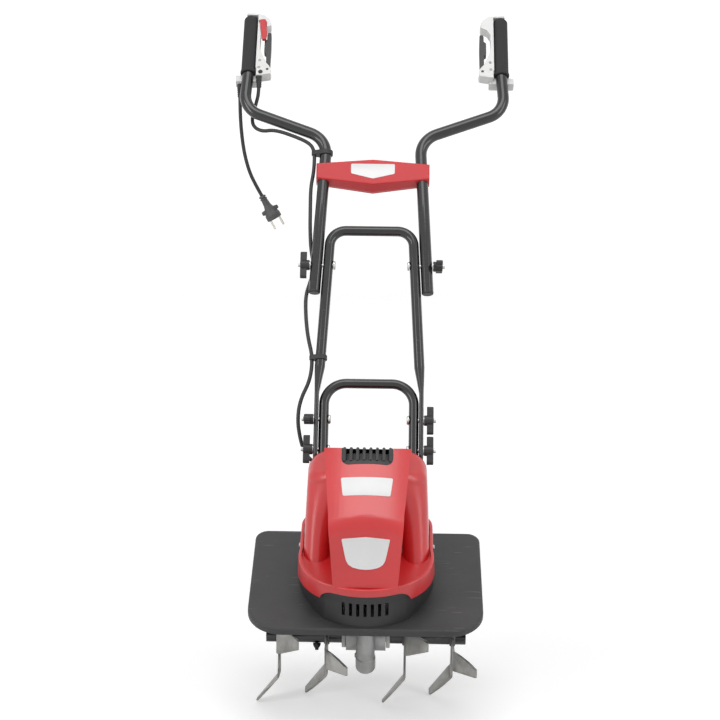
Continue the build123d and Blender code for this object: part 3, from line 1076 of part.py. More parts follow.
# Supply lead: gland under the left switch, short cord and a two-pin plug
gland_top = (HANDLE * GRIP * Pos(-GLAND_OFF, GLAND_BACK, foot_low + 4)).position
gx = gland_top.X
gy = gland_top.Y
gz = gland_top.Z
supply_gland = Pos(gx, gy, gz - 5) * Cylinder(GLAND_D / 2 - 1, 10)
supply_gland += Pos(gx, gy, gz - 10 - GLAND_L / 2) * Cone(CORD_D / 2 + 1.2, GLAND_D / 2 - 1, GLAND_L)
left_switch -= (HANDLE * GRIP).inverse() * supply_gland
parts["switch_housing_left"] = HANDLE * GRIP * left_switch
supply_gland -= Pos(gx, gy, gz - 20) * Cylinder(CORD_D / 2, 60)
parts["supply_gland"] = supply_gland
cord_top = gz - 10 - GLAND_L + 4
plug_axis = Vector(0.5, 0, -math.sqrt(0.75))
plug_turn = Vector(gx + 32, gy, cord_top - 176)
plug_top = plug_turn + plug_axis * 26
supply = [(gx, gy, cord_top), (gx, gy, cord_top - 32), (gx + 2.5, gy, cord_top - 72),
          (gx + 8, gy, cord_top - 112), (gx + 18, gy, cord_top - 148), tuple(plug_turn), tuple(plug_top)]
parts["supply_cord"] = cord(supply)
plug_at = Location(Plane(origin=supply[-1], z_dir=plug_axis, x_dir=(math.sqrt(0.75), 0, 0.5)))
neck_r = PLUG_NECK_D / 2
face_r = PLUG_FACE_D / 2
plug_side = [(0, -5), (neck_r - 1, -5), (neck_r, 0), (neck_r + 1.2, 14), (face_r - 3.5, 27), (face_r, 34),
             (face_r, PLUG_L), (0, PLUG_L)]
plug_body = revolve(Plane.XZ * make_face(Polyline(*plug_side, close=True)), Axis.Z)
plug_body = fillet(plug_body.edges().filter_by(lambda e: 10 < (e @ 0).Z < PLUG_L - 1), 4.0)
plug_body = fillet(plug_body.faces().sort_by(Axis.Z)[-1].edges(), 1.5)
plug_body -= z_cylinder(CORD_D / 2, -10, 0)
plug_pins = []
for sx in (-1, 1):
    px = sx * PLUG_PIN_PITCH / 2
    plug_body -= z_cylinder(PLUG_ROOT_D / 2, PLUG_L - PLUG_ROOT_L, PLUG_L + 1, px, 0)
    pin = z_cylinder(PLUG_PIN_D / 2, PLUG_L, PLUG_L + PLUG_PIN_L, px, 0)
    pin = fillet(pin.edges().filter_by(GeomType.CIRCLE).sort_by(Axis.Z)[-1:], 1.8)
    pin += z_cylinder(PLUG_ROOT_D / 2, PLUG_L - PLUG_ROOT_L, PLUG_L, px, 0)
    plug_pins.append(plug_at * pin)
parts["plug_body"] = plug_at * plug_body
parts["plug_pins"] = Compound(children=plug_pins)

# The origin is under the middle of the machine, on the ground plane; hanging leads are left out
lead_names = ("motor_lead_upper", "motor_lead_lower", "supply_gland", "supply_cord", "plug_body", "plug_pins")
boxes = [shape.bounding_box() for name, shape in parts.items() if name not in lead_names]
y_low = min(b.min.Y for b in boxes)
y_high = max(b.max.Y for b in boxes)
z_low = min(b.min.Z for b in boxes)
shift = Pos(0, -(y_low + y_high) / 2, -z_low)
print("shift", shift.position)

os.makedirs("parts", exist_ok=True)
for name, shape in parts.items():
    placed = shift * shape
    print(name, round(placed.volume, 1), len(placed.solids()))
    export_step(placed, f"parts/{name}.step")
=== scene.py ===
# %% [markdown]
# # An electric garden tiller
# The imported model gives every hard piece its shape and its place. This lesson adds what makes them
# look real: the camera and the light of a studio shot, one finish for each real material, and the
# soft, thin or worn forms that solids do badly, such as the leads, the ribbed sleeves on them, the
# bare plates, the rolled knee of the cover, the rounded tines and their weld beads.

# %% Load the frame
import json
import math

import bpy
from mathutils import Matrix, Vector


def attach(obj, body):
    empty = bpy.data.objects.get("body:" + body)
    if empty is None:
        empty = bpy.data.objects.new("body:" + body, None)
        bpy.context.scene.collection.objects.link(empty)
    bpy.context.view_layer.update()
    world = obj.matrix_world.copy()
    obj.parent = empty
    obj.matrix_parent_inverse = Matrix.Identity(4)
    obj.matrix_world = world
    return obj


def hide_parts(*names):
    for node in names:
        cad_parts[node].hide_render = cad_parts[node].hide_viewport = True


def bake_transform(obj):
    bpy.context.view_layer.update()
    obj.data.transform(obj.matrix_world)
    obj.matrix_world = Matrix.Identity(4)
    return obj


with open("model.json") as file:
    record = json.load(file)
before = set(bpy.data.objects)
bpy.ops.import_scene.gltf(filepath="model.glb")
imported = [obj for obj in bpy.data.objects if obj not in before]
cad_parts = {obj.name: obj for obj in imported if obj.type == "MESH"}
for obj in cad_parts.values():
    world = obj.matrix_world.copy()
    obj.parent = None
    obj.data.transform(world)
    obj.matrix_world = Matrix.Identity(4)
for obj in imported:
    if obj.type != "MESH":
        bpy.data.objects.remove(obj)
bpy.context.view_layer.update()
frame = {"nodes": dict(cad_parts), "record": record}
bpy.ops.object.select_all(action="DESELECT")

# %% [markdown]
# The machine stands on its tine tips, so its head leans forward about the axle and its handle leans
# back. Both have their own frame in the solids, and so has the left grip, which turns back a little
# more. Three small functions turn a place in millimetres, as a maker would measure it there, into
# metres in the shared frame.

# %% Places on the head, along the handle and on the left grip
AXLE = Vector((0.0, -0.153120, 0.118519))
HEAD_TURN = Matrix.Rotation(math.radians(19.2), 3, "X")
HANDLE_TURN = Matrix.Rotation(math.radians(-30.0), 3, "X")
HANDLE_FOOT = AXLE + Vector((0.0, 0.020, 0.3455))
GRIP_FOOT = Vector((-242.0, 0.0, 740.0))
GRIP_TURN = Matrix.Rotation(math.radians(-12.0), 3, "X")


def on_head(x, back, height):
    return AXLE + HEAD_TURN @ (Vector((x, back, height)) / 1000)


def on_handle(x, back, up):
    return HANDLE_FOOT + HANDLE_TURN @ (Vector((x, back, up)) / 1000)


def on_grip(x, back, up):
    return on_handle(*(GRIP_FOOT + GRIP_TURN @ Vector((x, back, up))))


def mirrored(place):
    return Vector((-place.x, place.y, place.z))


print("fold bolt at", on_handle(0, 0, 352))

# %% [markdown]
# Some steps come back in many pieces: making a piece the one that is worked on, opening its mesh,
# copying the mesh of a solid, selecting the points that follow a rule, cutting a mesh into strips,
# turning its faces outwards, and breaking its sharp edges with a narrow bevel.

# %% Small tools
MERGE_WITHIN = 0.00001
FINE_EDGE = 0.0003
X_AXIS = Vector((1, 0, 0))


def pick(made):
    bpy.ops.object.select_all(action="DESELECT")
    made.select_set(True)
    bpy.context.view_layer.objects.active = made


def edit_all():
    bpy.ops.object.mode_set(mode="EDIT")
    bpy.ops.mesh.select_all(action="SELECT")


def copy_of(node, name):
    """A copy of a solid's mesh, picked and ready to be worked on."""
    made = bpy.data.objects.new(name, frame["nodes"][node].data.copy())
    bpy.context.collection.objects.link(made)
    pick(made)
    return made


def select_points(made, rule):
    """Select the points that follow a rule, with the edges and faces between them."""
    for vertex in made.data.vertices:
        vertex.select = rule(vertex)
    for part in (*made.data.edges, *made.data.polygons):
        part.select = all(made.data.vertices[number].select for number in part.vertices)


def cut_strips(start, along, spacing, steps):
    """Cut the open mesh by planes square to a line, one at each step along it."""
    for step in steps:
        bpy.ops.mesh.select_all(action="SELECT")
        bpy.ops.mesh.bisect(plane_co=start + along * spacing * step, plane_no=along)


def face_outwards():
    bpy.ops.mesh.select_all(action="SELECT")
    bpy.ops.mesh.normals_make_consistent(inside=False)
    bpy.ops.object.mode_set(mode="OBJECT")


def soften(made, width, angle):
    bevel = made.modifiers.new("soft_edge", "BEVEL")
    bevel.width = width
    bevel.segments = 2
    bevel.limit_method = "ANGLE"
    bpy.ops.object.modifier_apply(modifier=bevel.name)
    bpy.ops.object.shade_smooth_by_angle(angle=math.radians(angle))


print("small tools ready")

# %% [markdown]
# The photograph was taken from a little over three metres, from about chest height and almost
# straight in front. A long lens keeps the handle and the tines nearly the same scale, so the camera
# gets a narrow angle. Three turns aim it: the pan about the vertical, the pitch down and a small
# roll.

# %% Camera
DISTANCE = 3.25
RISE = 1.215
SENSOR = 36.0
FOCAL_PIXELS = 1887
PICTURE_PIXELS = 720
aside = math.radians(0.675)
stand = AXLE + Vector((DISTANCE * math.sin(aside), -DISTANCE * math.cos(aside), RISE))
pan = Matrix.Rotation(math.radians(0.956), 3, "Z")
pitch = Matrix.Rotation(math.pi / 2 - math.radians(12.164), 3, "X")
roll = Matrix.Rotation(math.radians(0.587), 3, "Z")
bpy.ops.object.camera_add(location=stand, rotation=(pan @ pitch @ roll).to_euler())
camera = bpy.context.object
camera.name = "studio_camera"
camera.data.sensor_fit = "HORIZONTAL"
camera.data.sensor_width = SENSOR
camera.data.lens = SENSOR * FOCAL_PIXELS / PICTURE_PIXELS
camera.data.clip_end = 400.0
bpy.context.scene.camera = camera
print("camera at", camera.location, "lens", round(camera.data.lens, 1))

# %% [markdown]
# ## Leads
# The motor lead leaves the foot of the left switch, goes behind the bent tube, is clipped to the tube
# and to the frame leg, passes the fold bolt and ends in a gland at the back of the cover. A smooth
# spline through the route's points gives it the easy line of rubber cable. A round tube is then
# skinned on it and turned into a mesh.

# %% Lead routes
CORD_RADIUS = 0.0035
motor_stations = (
    (-221, -7.3, 729.8), (-220, 3, 706), (-226, 14, 684), (-233, 19, 660), (-230, 13, 637),
    (-212, 5, 623), (-187, 0, 625), (-143, 0, 609), (-119, 0, 596.5), (-111.2, 0, 581),
    (-110.6, 0, 560), (-111.8, 0, 535), (-116.3, 0, 508), (-115.8, 0, 462), (-115.3, 2, 422),
    (-113, 9, 386), (-106, 17, 352), (-113.5, 12, 321), (-120, 4, 294), (-119, 0, 256), (-114, 0, 212),
    (-104, 0, 174), (-107, 0, 130), (-124.8, 2, 92), (-128.8, 9, 56), (-123.8, 20, 26), (-115.8, 40, 3),
    (-100.8, 61, -8), (-81, 78, -8), (-62, 80, -14), (-52, 70.5, -25), (-52, 46.9, -52.3),
)
motor_route = [on_handle(*station) for station in motor_stations]
SUPPLY_BACK = 0.2406
supply_drop = ((-0.2580, 1.0641), (-0.2580, 1.0321), (-0.2555, 0.9921), (-0.2500, 0.9521),
               (-0.2400, 0.9161), (-0.2260, 0.8881), (-0.2130, 0.8656))
supply_route = [Vector((x, SUPPLY_BACK, z)) for x, z in supply_drop]
print("points on the routes", len(motor_route), len(supply_route))


# %% Making a lead
def lead_curve(name, route, bevel):
    data = bpy.data.curves.new(name, "CURVE")
    data.dimensions = "3D"
    spline = data.splines.new("NURBS")
    spline.points.add(len(route) - 1)
    for point, place in zip(spline.points, route):
        point.co = (*place, 1.0)
    spline.order_u = 3
    spline.use_endpoint_u = True
    spline.resolution_u = 8
    data.bevel_depth = bevel
    data.bevel_resolution = 5
    data.use_fill_caps = True
    made = bpy.data.objects.new(name, data)
    bpy.context.collection.objects.link(made)
    return made


def curve_points(curve):
    shown = curve.evaluated_get(bpy.context.evaluated_depsgraph_get())
    line = bpy.data.meshes.new_from_object(shown)
    return [vertex.co.copy() for vertex in line.vertices]


def line_length(points):
    return sum((b - a).length for a, b in zip(points, points[1:]))


def lead_tube(name, route):
    """A round tube on the route's spline, with the points of its middle line."""
    guide = lead_curve("guide", route, 0.0)
    bpy.context.view_layer.update()
    line = curve_points(guide)
    bpy.data.objects.remove(guide)
    made = lead_curve(name, route, CORD_RADIUS)
    pick(made)
    bpy.ops.object.convert(target="MESH")
    made = bpy.context.object
    bpy.ops.object.shade_smooth_by_angle(angle=math.radians(50))
    size = round(line_length(line), 3)
    print(name, len(line), "points,", size, "m,", len(made.data.polygons), "faces")
    return made, line


# %% Motor lead
lead, motor_line = lead_tube("motor_lead", motor_route)
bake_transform(lead)
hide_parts("motor_lead_upper", "motor_lead_lower")

# %% [markdown]
# The supply lead is only a short tail. It hangs from its gland under the left grip and its own
# stiffness keeps the plug turned a little inwards, as the photograph shows.

# %% Supply lead
supply, supply_line = lead_tube("supply_lead", supply_route)
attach(supply, "upper_handle")
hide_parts("supply_cord")

# %% [markdown]
# ## Finishes
# A finish is a tree of nodes. Writing sums such as `1 - mask` is easier to read than a page of links,
# so one small class wraps a socket and turns Python's operators into Math nodes. A second class holds
# a material and makes any other node from its type, its settings and the values of its sockets.


# %% Sums on sockets
class Level:
    """A value in a material that can be used in Python sums."""

    def __init__(self, tree, socket):
        self.tree = tree
        self.socket = socket

    def sum_of(self, operation, first, second):
        node = self.tree.nodes.new("ShaderNodeMath")
        node.operation = operation
        for place, item in zip(node.inputs, (first, second)):
            join(self.tree, place, item)
        return Level(self.tree, node.outputs[0])

    def __add__(self, other):
        return self.sum_of("ADD", self, other)

    def __radd__(self, other):
        return self.sum_of("ADD", other, self)

    def __sub__(self, other):
        return self.sum_of("SUBTRACT", self, other)

    def __rsub__(self, other):
        return self.sum_of("SUBTRACT", other, self)

    def __mul__(self, other):
        return self.sum_of("MULTIPLY", self, other)

    def __rmul__(self, other):
        return self.sum_of("MULTIPLY", other, self)


def join(tree, place, item):
    if isinstance(item, Level):
        tree.links.new(item.socket, place)
    elif isinstance(item, tuple) and len(item) == 3 and place.type == "RGBA":
        place.default_value = (*item, 1.0)
    else:
        place.default_value = item


# %% One material, node by node
class Finish:
    """One material with its shader, built node by node. A socket such as i6 is meant by its number."""

    def __init__(self, name):
        self.material = bpy.data.materials.new(name)
        self.material.use_nodes = True
        self.tree = self.material.node_tree
        self.shader = self.tree.nodes["Principled BSDF"]
        self.place = self.node("ShaderNodeTexCoord", out="Object")

    def node(self, kind, settings=None, out=0, **sockets):
        made = self.tree.nodes.new(kind)
        for key, item in (settings or {}).items():
            if key == "stops":
                while len(made.color_ramp.elements) < len(item):
                    made.color_ramp.elements.new(0.5)
                for element, (at, shade) in zip(made.color_ramp.elements, item):
                    element.position = at
                    element.color = (shade, shade, shade, 1.0)
            else:
                setattr(made, key, item)
        for key, item in sockets.items():
            label = int(key[1:]) if key[0] == "i" and key[1:].isdigit() else key
            join(self.tree, made.inputs[label], item)
        return Level(self.tree, made.outputs[out])

    def noise(self, scale, detail, rough=0.55, stretch=(1, 1, 1), turn=(0, 0, 0)):
        spot = self.node("ShaderNodeMapping", Vector=self.place, Scale=stretch, Rotation=turn)
        return self.node("ShaderNodeTexNoise", Vector=spot, Scale=scale, Detail=detail, Roughness=rough)

    def scratches(self, scale, turn, narrow):
        lines = self.noise(scale, 2.0, 0.5, (1, 22, 22), turn)
        patch = self.ramp(self.noise(scale * 0.8, 2.0), [(0.50, 0.0), (0.60, 1.0)])
        return self.ramp(lines, [(narrow, 0.0), (narrow + 0.02, 1.0)]) * patch

    def ramp(self, value, stops):
        return self.node("ShaderNodeValToRGB", {"stops": stops}, Fac=value)

    def mix(self, amount, first, second):
        return self.node("ShaderNodeMix", {"data_type": "RGBA"}, out=2, i0=amount, i6=first, i7=second)

    def bump(self, height, strength, distance):
        return self.node("ShaderNodeBump", Strength=strength, Distance=distance, Height=height)

    def shade(self, **sockets):
        for key, item in sockets.items():
            join(self.tree, self.shader.inputs[key.replace("_", " ")], item)
        return self.material


finishes = {}
print("finish tools ready")

# %% [markdown]
# ### Mouldings
# The cover is red plastic straight from the mould: a satin gloss with a very fine grain, a little
# uneven in tone. The knobs, the levers and the switch shells are the same kind of plastic in black
# and white. A fine noise on the Bump node is the grain, and a slow noise shifts tone and roughness so
# that no face is one flat colour.

# %% Red cover
red = Finish("red_moulding")
grain = red.noise(1400, 2.0)
cloud = red.noise(9, 3.0)
rub = red.scratches(9, (0.3, 0.5, 0.9), 0.69)
uneven = red.ramp(cloud, [(0.35, 0.0), (0.68, 1.0)])
tone = red.mix(uneven, (0.58, 0.018, 0.021), (0.66, 0.025, 0.029))
tone = red.mix(rub * 0.3, tone, (0.78, 0.20, 0.20))
finishes["red_moulding"] = red.shade(Base_Color=tone, Roughness=0.28 + cloud * 0.14, Coat_Weight=0.55,
                                     Coat_Roughness=0.20, Normal=red.bump(grain, 0.10, 0.0004))


# %% Black and white mouldings
def moulding(name, deep, pale, rough, grain_scale, grain_depth):
    finish = Finish(name)
    fine = finish.noise(grain_scale, 3.0, 0.65)
    slow = finish.noise(8, 4.0)
    shade = finish.mix(finish.ramp(slow, [(0.3, 0.0), (0.7, 1.0)]), deep, pale)
    finishes[name] = finish.shade(Base_Color=shade, Roughness=rough + slow * 0.16,
                                  Normal=finish.bump(fine, grain_depth, 0.0006))


moulding("black_moulding", (0.012, 0.012, 0.013), (0.022, 0.022, 0.024), 0.44, 1100, 0.28)
moulding("vent_black", (0.007, 0.006, 0.008), (0.014, 0.013, 0.015), 0.40, 1200, 0.20)
moulding("knob_black", (0.010, 0.010, 0.011), (0.020, 0.020, 0.021), 0.42, 1300, 0.20)
moulding("lever_black", (0.010, 0.010, 0.010), (0.018, 0.018, 0.018), 0.28, 1500, 0.06)
moulding("rocker_red", (0.50, 0.014, 0.020), (0.58, 0.020, 0.026), 0.26, 1500, 0.05)
moulding("switch_white", (0.70, 0.70, 0.69), (0.78, 0.78, 0.77), 0.34, 1300, 0.10)
# A darker copy of the cover's red for the crossbars: painted shade.
moulding("bar_red_painted_shade", (0.52, 0.021, 0.026), (0.60, 0.029, 0.034), 0.34, 1400, 0.12)
moulding("nylon", (0.66, 0.66, 0.63), (0.74, 0.74, 0.71), 0.38, 900, 0.10)
print("mouldings", len(finishes))

# %% [markdown]
# The fender takes the knocks. It is a flat tray of black plastic with a spark-eroded grain, and it is
# scuffed: stones leave pale, thin lines across it, and dust makes it greyer than the base above it.
# Noise stretched to long, thin streaks and cut to its highest values leaves only a few lines, and two
# such sets at different angles look accidental.

# %% Scuffed fender
tray = Finish("fender_scuffed")
grain = tray.noise(900, 3.0, 0.65)
dust = tray.noise(14, 5.0, 0.6)
lines = tray.scratches(14, (0.0, 0.0, 0.75), 0.66)
lines = lines + tray.scratches(20, (0.2, 0.1, -0.9), 0.67)
dusty = tray.ramp(dust, [(0.30, 0.0), (0.72, 1.0)])
tone = tray.mix(dusty, (0.024, 0.024, 0.025), (0.044, 0.044, 0.046))
tone = tray.mix(lines * 0.26, tone, (0.24, 0.24, 0.24))
finishes["fender_scuffed"] = tray.shade(Base_Color=tone, Roughness=0.50 + dust * 0.2 - lines * 0.08,
                                        Normal=tray.bump(grain, 0.30, 0.0006))
print("fender finish made")

# %% [markdown]
# ### Rubber and foam
# The grips are closed-cell foam. Close up, foam is a skin of tiny round cells, which a Voronoi
# pattern gives, and hands leave it streaked along its length. The leads and the plug are smoother
# rubber with a dull sheen.

# %% Foam grips, rubber leads
foam = Finish("grip_foam")
cells = foam.node("ShaderNodeTexVoronoi", {"feature": "F1"}, Vector=foam.place, Scale=950.0)
skin = foam.noise(60, 3.0)
streak = foam.noise(90, 3.0, 0.6, (1, 0.12, 0.12))
tone = foam.mix(skin * 0.5 + streak * 0.5, (0.010, 0.010, 0.011), (0.034, 0.034, 0.036))
finishes["grip_foam"] = foam.shade(Base_Color=tone, Roughness=0.72 + skin * 0.18,
                                   Normal=foam.bump(cells, 0.45, 0.0007))
moulding("cord_black", (0.014, 0.014, 0.015), (0.028, 0.028, 0.030), 0.46, 1600, 0.12)
moulding("plug_black", (0.075, 0.075, 0.075), (0.115, 0.115, 0.115), 0.46, 1300, 0.18)
print("soft finishes", len(finishes))

# %% [markdown]
# ### Metals
# Powder coat on the tubes pools into a shallow orange peel. The gearbox is a sand-dull casting under
# silver lacquer. Each metal uses the same three things at different strengths: a slow stain in the
# colour, a stretched scratch in the roughness and a fine bump.

# %% Powder coat
coat = Finish("tube_black")
peel = coat.noise(420, 2.0)
slow = coat.noise(12, 3.0)
chips = coat.scratches(22, (0.5, 0.2, 0.3), 0.68)
tone = coat.mix(slow, (0.004, 0.004, 0.005), (0.011, 0.011, 0.012))
tone = coat.mix(chips * 0.3, tone, (0.14, 0.14, 0.14))
finishes["tube_black"] = coat.shade(Base_Color=tone, Roughness=0.30 + slow * 0.12,
                                    Coat_Weight=0.75 + slow * 0.2, Specular_IOR_Level=0.2,
                                    Normal=coat.bump(peel, 0.05, 0.0006))


# %% Bare and plated metals
def metal(name, deep, pale, rough, stretch, scratch, pits, metallic=1.0):
    finish = Finish(name)
    stain = finish.noise(26, 5.0, 0.62)
    lines = finish.noise(240, 3.0, 0.6, stretch)
    pit = finish.noise(700, 2.0)
    shade = finish.mix(finish.ramp(stain, [(0.32, 0.0), (0.66, 1.0)]), deep, pale)
    finishes[name] = finish.shade(Base_Color=shade, Metallic=metallic, Roughness=rough + lines * scratch,
                                  Normal=finish.bump(pit + lines * 0.6, pits, 0.0005))


metal("axle_steel", (0.26, 0.26, 0.26), (0.42, 0.42, 0.42), 0.24, (0.2, 1, 1), 0.2, 0.08)
metal("shaft_steel", (0.40, 0.40, 0.40), (0.52, 0.52, 0.52), 0.20, (1, 1, 0.2), 0.15, 0.05)
metal("bolt_steel", (0.42, 0.42, 0.41), (0.58, 0.58, 0.56), 0.26, (1, 1, 1), 0.14, 0.06)
metal("screw_steel", (0.26, 0.26, 0.27), (0.40, 0.40, 0.40), 0.28, (1, 1, 1), 0.14, 0.06)
metal("bearing_steel", (0.50, 0.50, 0.50), (0.62, 0.62, 0.62), 0.16, (1, 1, 1), 0.08, 0.03)
metal("pin_steel", (0.010, 0.010, 0.011), (0.026, 0.026, 0.027), 0.36, (1, 1, 1), 0.2, 0.10, 0.5)
metal("gearbox_casting", (0.33, 0.33, 0.325), (0.45, 0.45, 0.445), 0.40, (1, 1, 1), 0.12, 0.30, 0.6)
metal("motor_casting", (0.40, 0.40, 0.40), (0.52, 0.52, 0.52), 0.42, (1, 1, 1), 0.12, 0.30, 0.9)
metal("lamination", (0.16, 0.16, 0.17), (0.28, 0.28, 0.29), 0.34, (1, 1, 6), 0.22, 0.20)
metal("gear_bronze", (0.50, 0.32, 0.10), (0.64, 0.44, 0.17), 0.24, (1, 1, 1), 0.14, 0.06)
metal("bush_bronze", (0.46, 0.29, 0.10), (0.58, 0.39, 0.15), 0.34, (1, 1, 1), 0.14, 0.14)
metal("copper", (0.44, 0.17, 0.06), (0.60, 0.26, 0.10), 0.26, (1, 1, 5), 0.16, 0.14)
metal("pin_brass", (0.55, 0.53, 0.48), (0.68, 0.66, 0.60), 0.18, (1, 1, 1), 0.10, 0.04)
print("finishes", len(finishes))

# %% [markdown]
# The tines are bare plate. Soil polishes the outer half of each blade, while the hub keeps its dark
# rolling skin and the brown tint left by welding. The dark hub and a scatter of dark patches are
# partly this skin and partly painted shade, standing in for the darker reflections on the blades.
# How far a point lies from the axle decides between dark hub and pale tip: a Vector Math node
# measures it once the axle's own direction is squeezed out of the coordinates.

# %% Tine steel with wear and painted shade
tine = Finish("tine_steel")
spot = tine.node("ShaderNodeMapping", Vector=tine.place, Scale=(0, 1, 1),
                 Location=(0, -AXLE.y, -AXLE.z))
reach = tine.node("ShaderNodeVectorMath", {"operation": "LENGTH"}, out="Value", i0=spot)
# Dark at the hub and pale at the tips: partly wear and rolling skin, partly painted shade.
wear_and_shade = tine.ramp(reach * 8 + tine.noise(30, 4.0) * 0.25, [(0.30, 0.0), (0.80, 1.0)])
stain = tine.noise(22, 5.0, 0.65)
rust = tine.ramp(tine.noise(48, 6.0, 0.7), [(0.58, 0.0), (0.72, 1.0)])
lines = tine.noise(260, 3.0, 0.6, (0.35, 1, 1))
tone = tine.mix(wear_and_shade, (0.10, 0.095, 0.09), (0.36, 0.355, 0.34))
# Dark patches over the steel: partly stain, partly painted shade.
stain_and_shade = tine.ramp(stain, [(0.40, 0.0), (0.66, 1.0)])
tone = tine.mix(stain_and_shade * 0.65, tone, (0.13, 0.128, 0.122))
tone = tine.mix(rust * 0.35, tone, (0.20, 0.12, 0.07))
finishes["tine_steel"] = tine.shade(Base_Color=tone, Metallic=0.85 - rust * 0.4,
                                    Roughness=0.34 + lines * 0.26,
                                    Normal=tine.bump(lines * 0.6 + stain * 0.5, 0.22, 0.0005))
print("tine finish made")

# %% Give every node its finish
for entry in frame["record"]["subparts"]:
    piece = frame["nodes"][entry["node"]]
    piece.data.materials.clear()
    piece.data.materials.append(finishes[entry["material_slot"]])
# The fender and the vent get finishes of their own; the crossbars get the darker red, which is painted
# shade.
for node, finish in (("fender", "fender_scuffed"), ("top_vent", "vent_black"),
                     ("crossbar_front", "bar_red_painted_shade"), ("crossbar_rear", "bar_red_painted_shade")):
    frame["nodes"][node].data.materials[0] = finishes[finish]
for piece in (lead, supply):
    piece.data.materials.clear()
    piece.data.materials.append(finishes["cord_black"])

# %% [markdown]
# ## Bare plates
# The crossbar and the cover carry thin white plates. They are left bare. Each starts as a flat face
# with its corners on the surface that carries it. Its corners are rounded, it is pushed out to its
# thickness, and an inset leaves a narrow rim.

# %% Plate finish
white = Finish("plate_white")
fine = white.noise(1500, 2.0)
slow = white.noise(30, 3.0)
tone = white.mix(slow, (0.76, 0.76, 0.76), (0.82, 0.82, 0.82))
finishes["plate_white"] = white.shade(Base_Color=tone, Roughness=0.26 + slow * 0.1, Coat_Weight=0.2,
                                      Normal=white.bump(fine, 0.05, 0.0003))

# %% Making a plate
PLATE_RIM = 0.0012
PLATE_DISH = 0.0003
STRIP = 0.008
STRIPS = range(-5, 6)


def plate(name, corners, lift, body, round_by, sag=None):
    """A thin plate through flat corners, listed against the clock, pushed out along its normal."""
    bpy.ops.mesh.primitive_circle_add(vertices=len(corners), radius=0.01, fill_type="NGON")
    made = bpy.context.object
    made.name = name
    for vertex, corner in zip(made.data.vertices, corners):
        vertex.co = corner
    edit_all()
    bpy.ops.mesh.bevel(offset=round_by, segments=4, affect="VERTICES")
    if sag:
        cut_strips(Vector(), X_AXIS, STRIP, STRIPS)
        bpy.ops.object.mode_set(mode="OBJECT")
        for vertex in made.data.vertices:
            vertex.co = sag(vertex.co)
        edit_all()
    bpy.ops.mesh.extrude_region_shrink_fatten(TRANSFORM_OT_shrink_fatten={"value": lift})
    bpy.ops.mesh.inset(thickness=PLATE_RIM, depth=-PLATE_DISH)
    face_outwards()
    soften(made, FINE_EDGE, 40)
    made.data.materials.append(finishes["plate_white"])
    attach(made, body)
    print(name, "faces", len(made.data.polygons))


# %% Crossbar plate
BAR_FACE = -14.0
bar_sketch = ((-41, 550.5), (-41, 531), (0, 520.8), (41, 531), (41, 550.5))
bar_corners = [on_handle(x, BAR_FACE, up) for x, up in bar_sketch]
plate("crossbar_plate", bar_corners, 0.0010, "upper_handle", 0.0025)

# %% [markdown]
# The cover has two plates. The lower one, a shield, lies on the flat face below the knee. The upper
# one lies on the crowned slope above it, so it is cut into strips by bisect, and each strip is
# dropped by the sag of an arc of the same radius as the slope.

# %% Cover plates
FOOT = (-121.0, 198.0)
KNEE = (-82.0, 317.0)
CREST = (60.0, 374.0)
CROWN = 0.275


def on_slope(x, low, high, along):
    share = along / math.dist(low, high)
    return on_head(x, low[0] + (high[0] - low[0]) * share, low[1] + (high[1] - low[1]) * share)


slope_up = HEAD_TURN @ Vector((0, KNEE[1] - CREST[1], CREST[0] - KNEE[0])).normalized()


def crown_sag(x):
    return CROWN - math.sqrt(CROWN ** 2 - x ** 2)


def crowned(place):
    return place - slope_up * crown_sag(place.x)


upper_sketch = ((-45, 91), (-40.7, 53.8), (40.7, 53.8), (45, 91))
upper_corners = [on_slope(x, KNEE, CREST, along) for x, along in upper_sketch]
plate("cover_plate_upper", upper_corners, 0.0010, "machine", 0.0030, crowned)
lower_half = ((41.5, 95), (35.6, 66), (33.6, 57), (29.6, 49.5), (22, 44.3), (11, 41.4))
lower_sketch = [(-x, along) for x, along in lower_half] + [(0, 40.5)] + [*lower_half[::-1], (0, 99)]
lower_corners = [on_slope(x, FOOT, KNEE, along) for x, along in lower_sketch]
plate("cover_plate_lower", lower_corners, 0.0012, "machine", 0.0022)

# %% [markdown]
# ## Rolled knee
# In the solid, the crowned slope cuts into the roll of the knee and leaves a crease towards both
# sides. The real cover rolls over evenly. So a copy of the cover is cut into a fine grid round its
# knee, and each point that stands proud of an even roll is drawn in to it. The roll's centre line
# sags from side to side as the slope does, which keeps its radius the same everywhere.

# %% An even roll
ROLL = 0.040
PROUD_MOST = 0.004
SPINE_HALF = 0.066
SIDE_KEPT = 0.0005
SKIN_DEEP = 0.006
ROW = 0.0025
COLUMN = 0.004
knee_corner = on_head(0, *KNEE)
front_out = HEAD_TURN @ Vector((0, FOOT[1] - KNEE[1], KNEE[0] - FOOT[0])).normalized()
front_up = HEAD_TURN @ Vector((0, KNEE[0] - FOOT[0], KNEE[1] - FOOT[1])).normalized()
slope_back = HEAD_TURN @ Vector((0, CREST[0] - KNEE[0], CREST[1] - KNEE[1])).normalized()


def from_roll(place):
    """From the roll's centre line to a place, square to that line."""
    centre = knee_corner - front_up * crown_sag(place.x) / slope_up.dot(front_up)
    centre -= (front_out + slope_up) * ROLL / (1 + front_out.dot(slope_up))
    arm = place - centre
    arm.x = 0
    return arm


def near_knee(face):
    """Whether a face is part of the outer skin round the knee."""
    outward = face.normal.dot(front_out + slope_up) > 1
    deep = (face.center - knee_corner).dot(slope_up)
    crown_gap = math.hypot(face.center.x, CROWN + deep) - CROWN
    front_gap = (face.center - knee_corner).dot(front_out)
    return outward and abs(face.center.x) < SPINE_HALF and max(crown_gap, front_gap) > -SKIN_DEEP


